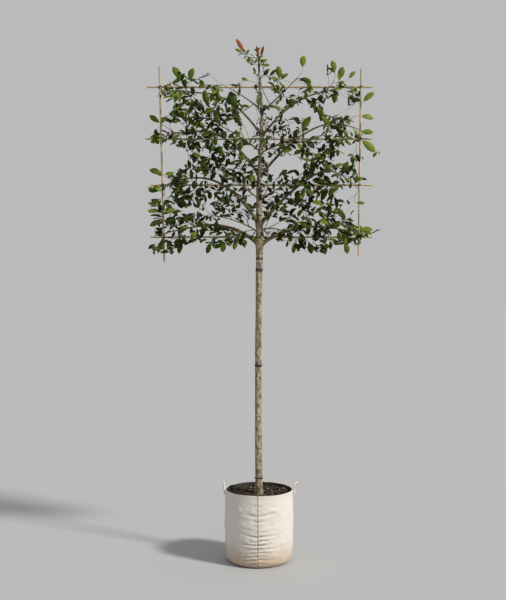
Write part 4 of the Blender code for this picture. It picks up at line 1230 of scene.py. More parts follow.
class Growth:
    """One mass as it grows: its twigs, its leaves, and the wood that new twigs start from."""

    def __init__(self, name, clearance, settings):
        self.rng = random.Random(f"{SEED}:{name}")
        self.planes = space_planes(name)
        self.clearance = clearance
        self.settings = settings
        self.tubes = []
        self.trees = []
        self.balls = []
        self.twigs = []
        self.leaves = []
        self.skeleton = []
        self.filled = []
        self.phase = self.rng.uniform(0, math.tau)

    def crosses(self, points, tree, parent):
        """Whether a shape cuts any other than its parent; only near shapes are compared."""
        ball = ball_round(points)
        balls = np.array(self.balls)
        gaps = np.linalg.norm(balls[:, :3] - ball[:3], axis=1) - balls[:, 3] - ball[3]
        return any(tree.overlap(self.trees[k]) for k in np.flatnonzero(gaps < 0) if k != parent)

    def keep(self, points, tree):
        self.trees.append(tree)
        self.balls.append(ball_round(points))

    def add_stem(self, name):
        points, radii = stem_path(name)
        shape = tube(points, radii, 8)
        self.tubes.append(shape)
        self.keep(shape[0], BVHTree.FromPolygons(*shape))
        self.skeleton += skeleton_of(points, radii, 1, 0)
        self.filled += points[1:]
        self.twigs.append((points, 0, False))

    def emptiest_point(self):
        """Of several random points in the space, the one farthest from all that has grown."""
        weight = np.array((1.0, DEPTH_WEIGHT, 1.0))
        filled = np.array([tuple(point) for point in self.filled]) * weight
        low = (CROWN_LEFT, -TWIG_DEPTH, CROWN_FOOT)
        high = (CROWN_RIGHT, TWIG_DEPTH, TWIG_CEILING)
        points = np.array([[self.rng.uniform(a, b) for a, b in zip(low, high)]
                           for _ in range(TARGET_TRIES * 12)])
        keep = np.ones(len(points), bool)
        for normal, limit in self.planes:
            keep &= points @ normal <= limit - TWIG_INSET
        points = [point for point in points[keep] if not share_in_openings(point[None])]
        points = np.array(points[:TARGET_TRIES])
        if not len(points):
            return None
        gaps = np.linalg.norm(filled[None] - (points * weight)[:, None], axis=2).min(1)
        return Vector(points[int(gaps.argmax())])

    def add_twig(self, target, heading=None):
        tries = START_TRIES if heading is None else NAMED_TRIES
        for start, direction, radius, parent in best_starts(target, self.skeleton, tries):
            reach = (target - start).length
            if heading is None:
                control = start + direction * (0.35 * reach) + Vector((0, 0, 0.10 * reach))
            else:
                angle = math.radians(heading)
                tip_way = Vector((math.sin(angle), 0.0, math.cos(angle)))
                control = target - tip_way * min(0.4 * reach, SHOOT_BEND)
            twig = curve_points(start, control, target, TWIG_POINTS)
            root = min(TWIG_ROOT_RADIUS, radius * TWIG_SHARE)
            if self.place_twig(twig, root, parent, heading is not None):
                tip = target + (target - control).normalized() * self.settings.length / 2
                self.filled += twig[1:] + [tip]
                return True
        return False

    def place_twig(self, twig, root, parent, named):
        if not inside(self.planes, twig, 0.004):
            return False
        if not self.clearance.free(twig[1:], root + LIMB_MARGIN):
            return False
        radii = [float(r) for r in np.linspace(root, TWIG_TIP_RADIUS, TWIG_POINTS)]
        shape = tube(twig, radii, TWIG_SIDES, self.rng.uniform(0, math.tau))
        tree = BVHTree.FromPolygons(*shape)
        if self.crosses(shape[0], tree, parent):
            return False
        number = len(self.trees)
        self.skeleton += skeleton_of(twig, radii, 1, number)
        self.twigs.append((twig, number, named))
        self.tubes.append(shape)
        self.keep(shape[0], tree)
        return True

    def add_leaf(self, base, direction, length, parent, kind, named):
        facing = leaf_facing(direction, self.rng, named)
        width = length * (NEW_SLIM if kind == "new" else self.rng.uniform(*LEAF_SLIM))
        shape = leaf_outline(base, direction, facing, length, width)
        if not inside(self.planes, shape[0]):
            return False
        samples = leaf_samples(shape[0])
        if not self.clearance.free(samples, LIMB_MARGIN):
            return False
        if not named and share_in_openings(samples) > OPENING_SHARE:
            return False
        tree = BVHTree.FromPolygons(*shape)
        if self.crosses(shape[0], tree, parent):
            return False
        self.keep(shape[0], tree)
        self.leaves.append((base, direction, facing, length, width, kind,
                            self.rng.randrange(len(LEAF_BENDS))))
        return True

    def spray_kind(self, twig):
        """Sprays are lighter toward the top and the sides of the crown, and dark inside: younger
        growth in part, and in part painted light on the top and sides and painted shade inside the
        crown.
        """
        tip = twig[-1]
        height = (tip.z - CROWN_FOOT) / (CROWN_SHOULDER - CROWN_FOOT)
        out = abs(tip.x) / CROWN_RIGHT
        light = 0.55 * height ** 2 + 0.50 * out ** 3 - 1.6 * max(0.0, tip.y) + 0.10
        light += self.rng.uniform(-0.42, 0.42)
        return min(3, max(0, int(light * 3.2)))

    def add_end_leaf(self, length, kind):
        """The end leaf of the named shoot that has just grown, before all else is in its way."""
        twig, parent, _ = self.twigs[-1]
        tangent = (twig[-1] - twig[-2]).normalized()
        for attempt in range(NAMED_TRIES):
            way = tilted(tangent, TIP_TILT / 4 * attempt, self.rng)
            size = length * (1 - 0.03 * attempt)
            if self.add_leaf(twig[-1] - tangent * 0.001, way, size, parent, kind, True):
                return

    def dress_twig(self, twig, parent, named):
        settings = self.settings
        spray = self.spray_kind(twig)
        small = 0.78 + 0.30 * min(1.0, abs(twig[-1].x) / 0.30)
        if twig[-1].z > LEADER_FOOT and abs(twig[-1].x) < 0.12:
            small = LEADER_LEAVES
        for order, (base, tangent, outward) in enumerate(
                leaf_places(twig, settings.step * max(small, 0.8), self.phase + parent)):
            if named and order == 0:
                continue
            length = settings.length + self.rng.uniform(-1, 1) * settings.spread
            near_tip = order < TIP_LEAVES
            length *= small * (1.06 if near_tip else 0.90)
            number = min(3, max(0, spray + near_tip - self.rng.choice((0, 0, 1))))
            kind = LEAF_KINDS[number]
            for attempt in range(LEAF_TRIES):
                if outward is None:
                    way = tilted(tangent, TIP_TILT * attempt, self.rng)
                else:
                    turn = Matrix.Rotation(self.rng.uniform(-1, 1) * attempt, 3, tangent)
                    spread = math.radians(LEAF_SPREAD_ANGLE + self.rng.uniform(-18, 18))
                    way = tangent * math.cos(spread) + (turn @ outward) * math.sin(spread)
                size = length * LEAF_SHRINK ** attempt
                if self.add_leaf(base, way.normalized(), size, parent, kind, False):
                    break


def grow_mass(name, clearance, settings):
    """Stem, named shoots, then twigs into whatever space is emptiest, then the leaves."""
    growth = Growth(name, clearance, settings)
    growth.add_stem(name)
    for tip, heading, length, kind in SHOOTS.get(name, ()):
        if growth.add_twig(Vector(tip), heading):
            growth.add_end_leaf(length, kind)
    wanted = MASSES[name][3]
    for _ in range(wanted * TWIG_TRIES):
        target = growth.emptiest_point()
        if target is not None and len(growth.twigs) < wanted:
            growth.add_twig(target)
    for twig, number, named in reversed(growth.twigs):
        growth.dress_twig(twig, number, named)
    return growth


# share of the length, share of the full width: stalk, blade, tip
LEAF_OUTLINE = ((0.0, 0.045), (0.10, 0.055), (0.20, 0.46), (0.34, 0.80), (0.50, 0.97),
                (0.64, 1.0), (0.78, 0.84), (0.90, 0.48), (1.0, 0.03))
# fold of the blade, droop of its tip and sideways curl, as shares of the length
LEAF_BENDS = ((0.075, 0.06, 0.03), (0.11, 0.14, -0.05), (0.045, -0.04, 0.06), (0.09, 0.22, -0.02))
LEAF_THICKNESS = 0.006


def model_leaf(name, bend):
    """One leaf of length 1 and width 1: a folded, bent blade with two sides."""
    fold, droop, curl = bend
    rows = len(LEAF_OUTLINE) - 1
    deselect_all()
    bpy.ops.mesh.primitive_grid_add(
        x_subdivisions=2, y_subdivisions=rows, size=1.0, location=(0.0, 0.5, 0.0))
    leaf = take(name)
    bpy.ops.object.transform_apply(location=True, rotation=False, scale=False)
    bpy.ops.object.mode_set(mode="EDIT")
    bpy.ops.mesh.select_mode(type="VERT")
    for row, (along, width) in enumerate(LEAF_OUTLINE):
        bpy.ops.mesh.select_all(action="DESELECT")
        shape = bmesh.from_edit_mesh(leaf.data)
        level = row / rows
        for vertex in shape.verts:
            vertex.select = abs(vertex.co.y - level) < 0.001 and not vertex.hide
        shape.select_flush_mode()
        bmesh.update_edit_mesh(leaf.data)
        bpy.ops.transform.resize(value=(width, 1.0, 1.0), center_override=(0.0, level, 0.0))
        bpy.ops.mesh.hide(unselected=False)
    bpy.ops.mesh.reveal(select=False)
    bpy.ops.object.mode_set(mode="OBJECT")
    levels = [row[0] for row in LEAF_OUTLINE]
    for vertex in leaf.data.vertices:
        along = levels[min(rows, max(0, round(vertex.co.y * rows)))]
        side = vertex.co.x * 2
        blade = smooth_step(along, 0.08, 0.30)
        vertex.co.x += curl * along ** 2
        vertex.co.z = fold * abs(side) * blade - droop * along ** 2
        vertex.co.y = along
    leaf.data.materials.append(bpy.data.materials.new(name + " upper"))
    leaf.data.materials.append(bpy.data.materials.new(name + " under"))
    add_modifier(leaf, "SOLIDIFY", thickness=LEAF_THICKNESS, offset=-1.0, material_offset=1,
                 material_offset_rim=0)
    return leaf


def leaf_placement(leaf):
    base, direction, facing, length, width, _, bend = leaf
    across = direction.cross(facing).normalized()
    up = across.cross(direction).normalized()
    matrix = np.array([across * width, direction * length, up * length]).T
    return bend, matrix, base


def make_leaves(leaves, settings):
    """One piece for each colour of leaf."""
    blanks = [model_leaf(f"leaf_{number}", bend) for number, bend in enumerate(LEAF_BENDS)]
    for kind in LEAF_KINDS:
        rows = [leaf_placement(leaf) for leaf in leaves if leaf[5] == kind]
        piece = join_copies("leaves_" + kind, blanks, rows)
        colour = tuple(getattr(settings, kind))
        piece.data.materials.append(leaf_material("leaf " + kind, colour, LEAF_ROUGHNESS[kind]))
        back = tuple(channel * 0.85 + 0.018 for channel in colour)
        piece.data.materials.append(leaf_material("leaf back " + kind, back, 0.65))
        slot = "new_leaf" if kind == "new" else "leaf"
        nodes = [name for name in MASSES if name.endswith("leader") == (kind == "new")]
        finish_piece(piece, None, slot, *(nodes if kind in ("deep", "new") else ()))
    remove(*blanks)


def make_twigs(tubes, material):
    """All the stems and twigs in one piece."""
    vertices, faces = [], []
    for points, rings in tubes:
        offset = len(vertices)
        vertices += points
        faces += [tuple(corner + offset for corner in ring) for ring in rings]
    piece = mesh_piece("twigs", vertices, faces)
    shade(piece, 60)
    finish_piece(piece, material, "bark")


class ESPALIER_OT_foliage(bpy.types.Operator):
    """Stems, twigs and leaves of every mass"""
    bl_idname = "espalier.foliage"
    bl_label = "Foliage"

    def execute(self, context):
        settings = context.scene.espalier_leaf
        clearance = Clearance(limb_segments())
        tubes, leaves = [], []
        for name in MASSES:
            growth = grow_mass(name, clearance, settings)
            if len(growth.leaves) < LEAST_LEAVES:
                raise RuntimeError(f"{name} grew only {len(growth.leaves)} leaves")
            tubes += growth.tubes
            leaves += growth.leaves
        make_leaves(leaves, settings)
        make_twigs(tubes, twig_material(context.scene.espalier_wood))
        return {"FINISHED"}


# --- bamboo frame -----------------------------------------------------------------------
def make_cane(name, start, end, seed, material):
    """A bamboo cane: slightly waisted between its joints, with a sheath scar at each."""
    rng = random.Random(f"{SEED}:{name}:{seed}")
    length = (Vector(end) - Vector(start)).length
    blank = tube_blank(name + "_cane", CANE_SIDES, int(length / CANE_RING_STEP))
    joints = []
    at = rng.uniform(0.05, 0.16)
    while at < length:
        joints.append(at)
        at += rng.uniform(0.15, 0.23)
    points, frames = frames_along([Vector(start), Vector(end)])
    across, over = frames[0]

    def place(angle, share):
        along = share * length
        centre = points[0].lerp(points[1], share)
        swell = 0.00016 * grain(math.cos(angle), math.sin(angle), along * 30)
        for joint in joints:
            swell += 0.00085 * math.exp(-((along - joint) / 0.0030) ** 2)
            swell -= 0.00040 * math.exp(-((along - joint + 0.006) / 0.0022) ** 2)
        end_wear = -0.0008 if share in (0.0, 1.0) else 0.0
        reach = CANE_RADIUS - 0.0001 + swell + end_wear
        return centre + reach * (math.cos(angle) * across + math.sin(angle) * over)

    move_vertices(blank, place)
    merge_and_face_out(blank)
    shade(blank, 50)
    finish_piece(blank, material, "bamboo", name)


class ESPALIER_OT_canes(bpy.types.Operator):
    """The four rails and two uprights of the bamboo frame"""
    bl_idname = "espalier.canes"
    bl_label = "Bamboo canes"

    def execute(self, context):
        material = bamboo_material(context.scene.espalier_frame)
        for row in cane_lines():
            make_cane(*row, material)
        return {"FINISHED"}


def wound_wire(front, back, height, turns, pitch):
    """A wire that winds round two crossing rods on the slant, given as (x, y, radius)."""
    steps = 20
    points = []
    for step in range(turns * steps + 1):
        angle = math.tau * step / steps
        out, deep = math.cos(angle), math.sin(angle)
        x, y, radius = front if deep < 0 else back
        reach = radius + 0.0017
        shift = (step / steps - turns / 2) * pitch
        points.append(Vector((x + reach * out + shift, y + reach * deep,
                              height + reach * out - shift)))
    return points


def wire_piece(name, points, radius):
    """A curve with a round bevel, made a mesh."""
    curve = bpy.data.curves.new(name, "CURVE")
    curve.dimensions = "3D"
    curve.bevel_depth = radius
    curve.bevel_resolution = 2
    curve.use_fill_caps = True
    spline = curve.splines.new("POLY")
    spline.points.add(len(points) - 1)
    for corner, point in zip(spline.points, points):
        corner.co = (*point, 1.0)
    piece = bpy.data.objects.new(name, curve)
    bpy.context.scene.collection.objects.link(piece)
    make_active(piece)
    bpy.ops.object.convert(target="MESH")
    piece = bpy.context.object
    merge_and_face_out(piece, 0.000005)
    return piece


class ESPALIER_OT_ties(bpy.types.Operator):
    """Wire ties at the crossings, and rubber straps round the trunk"""
    bl_idname = "espalier.ties"
    bl_label = "Ties"

    def execute(self, context):
        material = rubber_material(context.scene.espalier_frame)
        for number, height in enumerate(RAIL_HEIGHTS, 1):
            for side in SIDES:
                x = post_x(side, height)
                rods = (x, POST_Y, CANE_RADIUS), (x, RAIL_Y, CANE_RADIUS)
                points = wound_wire(*rods, height, 3, 0.0022)
                piece = wire_piece(f"wire_{number}_{side}", points, 0.0011)
                shade(piece, 60)
                finish_piece(piece, material, "tie", f"tie_{number}_{side}")
        for number, (height, width) in enumerate(zip(BAND_HEIGHTS, BAND_WIDTHS), 1):
            self.make_strap(number, height, width, material)
        return {"FINISHED"}

    def make_strap(self, number, height, width, material):
        """A rubber strap with rounded edges, lapped over itself at the front right."""
        blank = tube_blank(f"strap_{number}", 64, 14, capped=False)

        def place(angle, share):
            z = height + (share - 0.5) * width
            centre = trunk_centre(z)
            edge = math.sqrt(max(0.0, 1 - (2 * share - 1) ** 2)) ** 0.5
            turn = math.remainder(angle - BAND_LAP, math.tau)
            over = 0.0016 * math.exp(-(turn / 0.35) ** 4)
            reach = trunk_radius(z) + 0.0006 + BAND_THICKNESS * edge + over
            return (centre.x + reach * math.cos(angle), centre.y + reach * math.sin(angle), z)

        move_vertices(blank, place)
        add_modifier(blank, "SOLIDIFY", thickness=0.0008, offset=-1.0)
        merge_and_face_out(blank)
        shade(blank, 50)
        finish_piece(blank, material, "tie", f"band_{number}")


# --- bag --------------------------------------------------------------------------------
def bag_radius(height):
    """Outer radius of the bag's wall, in straight lines between the frame's rings."""
    return interpolate(BAG_RADII, height)


def bag_profile(share):
    """Radius and height from the underside's edge, round the lower edge, up to the rim."""
    if share < CORNER_SHARE:
        angle = share / CORNER_SHARE * math.pi / 2
        return (BAG_FLOOR_RADIUS + BAG_CORNER * math.sin(angle),
                BAG_CORNER * (1 - math.cos(angle)))
    rise = (share - CORNER_SHARE) / (1 - CORNER_SHARE)
    height = BAG_CORNER + rise * (BAG_HEIGHT - BAG_CORNER)
    return bag_radius(height), height


def seam_creases(rng):
    """Creases that run out from a seam: side, height, slope, reach, depth and half width."""
    creases = []
    for side in (-1, 1):
        height = 0.034
        while height < 0.215 - 0.012 * side:
            strength = (0.65 + 0.35 * smooth_step(height, 0.02, 0.06)) * (
                1 - 0.6 * smooth_step(height, 0.15, 0.22))
            slope = 1.8 * (height - 0.12) + rng.uniform(-0.06, 0.06)
            creases.append((side, height + rng.uniform(-0.003, 0.003), slope,
                            rng.uniform(0.045, 0.105), rng.uniform(0.5, 1.0) * strength,
                            rng.uniform(0.0042, 0.0060)))
            height += rng.uniform(0.016, 0.026)
    for side, height, slope, reach in (
            (1, 0.293, 0.17, 0.12), (-1, 0.292, 0.10, 0.07), (1, 0.262, 0.06, 0.04),
            (-1, 0.262, 0.08, 0.04), (-1, 0.352, -0.10, 0.04), (1, 0.345, 0.12, 0.04)):
        creases.append((side, height, slope, reach, 0.45, 0.0055))
    return creases


def crease_depth(creases, arc, height):
    """Height of the cloth over its smooth surface: sharp creases with puffed cloth between."""
    lift = 0.0
    run = abs(arc)
    for side, level, slope, reach, depth, half in creases:
        if arc * side < -0.003:
            continue
        across = (height - level - slope * run + 0.6 * slope * run ** 2) / (half * (1 + run * 5.0))
        if abs(across) > 6:
            continue
        fade = math.exp(-(run / reach) ** 2) * min(1.0, run / 0.014 + 0.35)
        puff = math.exp(-((across - 2) / 1.4) ** 2) + math.exp(-((across + 2) / 1.4) ** 2)
        lift += depth * fade * (0.45 * puff - math.exp(-abs(across) * 1.5))
    return lift


def seam_folds(angle, height, creases, wrinkle):
    """The creases of both seams at one place on the wall."""
    folds = 0.0
    for (seam, share), rows in zip(SEAMS, creases):
        arc = math.remainder(angle - seam, math.tau) * bag_radius(height)
        if abs(arc) < SEAM_SPAN:
            folds += wrinkle * share * crease_depth(rows, arc, height)
    return folds


# soft dents in the upper part: distance round from the seam, height, half sizes, depth, turn
DENTS = (
    (-0.090, 0.338, 0.022, 0.012, -0.0046, 0.9), (-0.110, 0.318, 0.024, 0.012, 0.0034, 0.6),
    (-0.050, 0.344, 0.012, 0.012, -0.0040, 0.0), (0.080, 0.342, 0.024, 0.010, -0.0040, -0.3),
    (0.100, 0.318, 0.034, 0.014, 0.0026, -0.3), (-0.030, 0.318, 0.020, 0.016, 0.0028, 0.0),
    (0.070, 0.215, 0.060, 0.020, 0.0020, 0.1), (-0.080, 0.232, 0.050, 0.022, 0.0022, -0.1),
    (0.020, 0.280, 0.016, 0.010, 0.0026, 0.3),
)


def cloth_lift(angle, height, folds):
    """All that moves the canvas off its smooth shape, with the seams' folds already known."""
    radius = bag_radius(height)
    lift = folds
    for seam, share in SEAMS:
        arc = math.remainder(angle - seam, math.tau) * radius
        if abs(arc) > SEAM_SPAN:
            continue
        for along, level, wide, tall, depth, turn in DENTS:
            side = (arc - along) / wide
            up = (height - level - turn * (arc - along)) / tall
            if abs(side) < 3 and abs(up) < 3:
                lift += depth * share * math.exp(-side ** 2 - up ** 2)
        ridges = sum(math.exp(-((arc + off) / 0.0030) ** 2) for off in (0.0055, -0.0055))
        groove = math.exp(-(arc / 0.0022) ** 2)
        lift += (0.0018 * ridges - 0.0012 * groove) * smooth_step(height, 0.0, 0.03)
    x, y = math.cos(angle), math.sin(angle)
    middle = smooth_step(height, 0.02, 0.10) * (1 - smooth_step(height, 0.30, 0.38))
    dents = grain(x * 2.1, y * 2.1, height * 11.0)
    waves = grain(x * 5.0 + 4, y * 5.0, height * 26.0)
    ripple = grain(x * 9.0 + 4, y * 9.0, height * 75.0)
    low = 1 - smooth_step(height, 0.10, 0.26)
    lift += (0.0024 * dents + 0.0016 * waves + 0.0016 * ripple * (0.25 + low)) * middle
    lift += 0.0006 * math.cos(3 * angle + 0.6) * middle
    top = BAG_HEIGHT - HEM_DEPTH
    lift = max(lift, -0.0010 - 0.02 * smooth_step(0.335 - height, 0.0, 0.06))
    lift += 0.0008 * smooth_step(height, top, top + 0.002)
    lift -= 0.0010 * math.exp(-((height - top) / 0.0016) ** 2)
    return lift


def map_cloth(piece, radius):
    """A map in metres: round the wall and up it."""
    mesh = piece.data
    layer = mesh.uv_layers.active or mesh.uv_layers.new(name="cloth")
    for face in mesh.polygons:
        turn = math.atan2(face.center.y, face.center.x)
        for index in face.loop_indices:
            vertex = mesh.vertices[mesh.loops[index].vertex_index].co
            angle = turn + math.remainder(math.atan2(vertex.y, vertex.x) - turn, math.tau)
            layer.data[index].uv = (angle * radius, vertex.z)


def select_border(piece, low, high):
    """Select the border edges of an open tube that lie between two heights, in edit mode."""
    bpy.ops.mesh.select_mode(type="EDGE")
    bpy.ops.mesh.select_all(action="DESELECT")
    shape = bmesh.from_edit_mesh(piece.data)
    for edge in shape.edges:
        middle = (edge.verts[0].co.z + edge.verts[1].co.z) / 2
        edge.select = edge.is_boundary and low < middle < high
    bmesh.update_edit_mesh(piece.data)


def make_canvas(settings, material):
    """The bag: its wall and floor, turned in over the rim down to below the soil."""
    rng = random.Random(f"{SEED}:creases")
    creases = seam_creases(rng), seam_creases(rng)
    blank = tube_blank("canvas_bag", BAG_SIDES, BAG_CUTS, capped=False)
    hollows = []

    def place(angle, share):
        turn = math.remainder(angle - SEAM_ANGLE, math.tau)
        angle = SEAM_ANGLE + turn - SEAM_DETAIL * math.sin(2 * turn)
        radius, height = bag_profile(share)
        folds = seam_folds(angle, height, creases, settings.wrinkle)
        lift = cloth_lift(angle, height, folds)
        hollows.append(max(0.0, -folds / settings.wrinkle))
        rim = 0.0012 * math.sin(2 * angle + 0.5) * smooth_step(height, 0.33, BAG_HEIGHT)
        hold = smooth_step(share, 0.01, 0.6 * CORNER_SHARE)
        reach = radius + lift * hold - CLOTH_SINK
        return (reach * math.cos(angle), reach * math.sin(angle), height - abs(rim))

    move_vertices(blank, place)
    blank.data.attributes.new("hollow", "FLOAT", "POINT").data.foreach_set("value", hollows)
    make_active(blank)
    bpy.ops.object.mode_set(mode="EDIT")
    select_border(blank, -0.1, 0.01)
    bpy.ops.mesh.edge_face_add()
    select_border(blank, 0.3, 0.5)
    rim_radius = BAG_RADII[-1][1] - CLOTH_SINK
    inner = (rim_radius - CLOTH) / rim_radius
    for value, down in (((inner, inner, 1), -0.0002), ((1, 1, 1), CLOTH_DEPTH - BAG_HEIGHT)):
        bpy.ops.mesh.extrude_region_move(TRANSFORM_OT_translate={"value": (0, 0, down)})
        bpy.ops.transform.resize(value=value, center_override=(0.0, 0.0, 0.0))
    bpy.ops.mesh.edge_face_add()
    bpy.ops.mesh.select_all(action="SELECT")
    bpy.ops.mesh.normals_make_consistent(inside=False)
    bpy.ops.object.mode_set(mode="OBJECT")
    map_cloth(blank, BAG_RADII[2][1])
    shade(blank, 60)
    finish_piece(blank, material, "canvas", "bag")
    return creases


def stitch_blank():
    """One stitch: a short thread, bowed over the cloth and sunk at both ends."""
    deselect_all()
    bpy.ops.mesh.primitive_uv_sphere_add(segments=8, ring_count=6, radius=0.5)
    piece = take("stitch")
    bpy.ops.object.mode_set(mode="EDIT")
    bpy.ops.mesh.select_all(action="SELECT")
    bpy.ops.transform.resize(value=(0.34, 0.36, 1.0), center_override=(0.0, 0.0, 0.0))
    bpy.ops.object.mode_set(mode="OBJECT")
    return piece


def make_stitches(creases, settings):
    """Thread down both seams and round the hem."""
    def surface(angle, height):
        """The canvas's radius at a place, and the ways out and round there."""
        folds = seam_folds(angle, height, creases, settings.wrinkle)
        out = np.array((math.cos(angle), math.sin(angle), 0))
        side = np.array((-math.sin(angle), math.cos(angle), 0))
        return bag_radius(height) + cloth_lift(angle, height, folds), out, side

    blank = stitch_blank()
    dark, pale = [], []
    for seam, _ in SEAMS:
        for offset, rows in ((0.0, dark), (-0.0100, pale)):
            height = STITCH_FOOT
            while height < BAG_HEIGHT - 0.006:
                reach, out, side = surface(seam + offset / bag_radius(height), height)
                matrix = np.array([out, side, (0, 0, 1)]).T * STITCH_LENGTH
                rows.append((0, matrix, out * (reach - 0.0014) + np.array((0, 0, height))))
                height += STITCH_PITCH
    for level in (BAG_HEIGHT - HEM_DEPTH + 0.0022, BAG_HEIGHT - 0.0045):
        for step in range(HEM_STITCHES):
            reach, out, side = surface(math.tau * step / HEM_STITCHES, level)
            matrix = np.array([out, (0, 0, -1), side]).T * 0.0050
            pale.append((0, matrix, out * (reach - 0.0018) + np.array((0, 0, level))))
    for name, rows, colour in (("seam_stitches", dark, SEAM_THREAD),
                               ("hem_stitches", pale, HEM_THREAD)):
        piece = join_copies(name, [blank], rows)
        finish_piece(piece, thread_material(name.replace("_", " "), colour), "canvas")
    remove(blank)


class ESPALIER_OT_bag(bpy.types.Operator):
    """The canvas bag with its seams, creases and stitching"""
    bl_idname = "espalier.bag"
    bl_label = "Canvas bag"

    def execute(self, context):
        settings = context.scene.espalier_bag
        creases = make_canvas(settings, canvas_material(settings))
        make_stitches(creases, settings)
        return {"FINISHED"}


class ESPALIER_OT_lining(bpy.types.Operator):
    """The black lining that shows inside the rim"""
    bl_idname = "espalier.lining"
    bl_label = "Lining"

    def execute(self, context):
        settings = context.scene.espalier_bag
        blank = tube_blank("lining_cloth", 180, 26, capped=False)

        def place(angle, share):
            height = LINING_FOOT + share * (LINING_TOP - LINING_FOOT)
            x, y = math.cos(angle), math.sin(angle)
            pucker = grain(x * 9.0, y * 9.0, height * 18.0)
            fold = grain(x * 3.0, y * 3.0 + 5, height * 6.0)
            free = smooth_step(height, 0.35, LINING_TOP)
            reach = bag_radius(height) - LINING_INSET
            reach -= (0.0010 + 0.0010 * pucker + 0.0014 * fold) * free
            edge = 0.0016 * grain(x * 6.0, y * 6.0, 2.0) * share
            back = 0.0030 * max(0.0, y) * share
            return (reach * x, reach * y, height + edge + back - 0.0020)

        move_vertices(blank, place)
        add_modifier(blank, "SOLIDIFY", thickness=0.0012, offset=1.0)
        merge_and_face_out(blank)
        map_cloth(blank, BAG_RADII[-1][1])
        shade(blank, 60)
        finish_piece(blank, lining_material(settings), "lining", "bag_lining")
        return {"FINISHED"}


def loop_path(side, steps):
    """The rope loop's middle line, as in the frame."""
    reach = bag_radius(LOOP_FOOT) + 0.0003 + ROPE_RADIUS
    points = []
    for step in range(steps + 1):
        share = step / steps
        arch = math.sin(math.pi * share)
        along = -LOOP_WIDTH / 2 * math.cos(math.pi * share)
        out = reach - abs(along) * 0.07 + LOOP_TWIST[side] * share * arch ** 0.6
        points.append(Vector((side * out, along, LOOP_FOOT + LOOP_HEIGHT * arch ** 0.7)))
    return points


class ESPALIER_OT_ropes(bpy.types.Operator):
    """Two small rope handles, each laid from three strands"""
    bl_idname = "espalier.ropes"
    bl_label = "Rope handles"

    def execute(self, context):
        settings = context.scene.espalier_bag
        material = thread_material("cotton rope", tuple(settings.rope))
        for side, label in zip((-1, 1), SIDES):
            middle, frames = frames_along(loop_path(side, ROPE_STEPS))
            strands = []
            for strand in range(3):
                points = []
                for i, (point, (across, over)) in enumerate(zip(middle, frames)):
                    angle = math.tau * (strand / 3 + i / ROPE_STEPS * ROPE_TURNS)
                    lay = across * math.cos(angle) + over * math.sin(angle)
                    points.append(point + lay * ROPE_RADIUS * 0.50)
                strands.append(wire_piece(f"strand_{strand}", points, ROPE_RADIUS * 0.58))
            make_active(strands[0])
            for strand in strands:
                strand.select_set(True)
            bpy.ops.object.join()
            rope = take(f"rope_{label}")
            shade(rope, 60)
            finish_piece(rope, material, "rope", f"handle_{label}")
        return {"FINISHED"}


# --- soil -------------------------------------------------------------------------------
def soil_height(x, y):
    """The soil's surface: crumbs and clods, drawn up a little round the trunk."""
    coarse = grain(x * 22.0, y * 22.0, 1.0)
    crumbs = grain(x * 85.0, y * 85.0, 4.0)
    fine = grain(x * 210.0, y * 210.0, 9.0)
    away = math.hypot(x, y)
    mound = 0.0015 * math.exp(-(away / 0.05) ** 2)
    edge = -0.005 * smooth_step(away, 0.15, 0.19)
    heap = 0.009 + 0.045 * y + 0.020 * x
    mound += max(0.0, heap) * smooth_step(away, 0.035, 0.11)
    return SOIL_TOP + 0.0034 * coarse + 0.0024 * crumbs + 0.0012 * fine + mound + edge


SOIL_INSET = 0.0075     # from the bag's outside to the soil's edge
# colour, share and size range of what lies on the soil
BITS = {
    "bits_dark": ((0.018, 0.012, 0.009), 0.64, (0.004, 0.014)),
    "bits_brown": ((0.085, 0.048, 0.026), 0.27, (0.004, 0.017)),
    "bits_pale": ((0.42, 0.32, 0.22), 0.09, (0.004, 0.013)),
    "bits_grit": ((0.70, 0.68, 0.64), 0.045, (0.003, 0.006)),
}


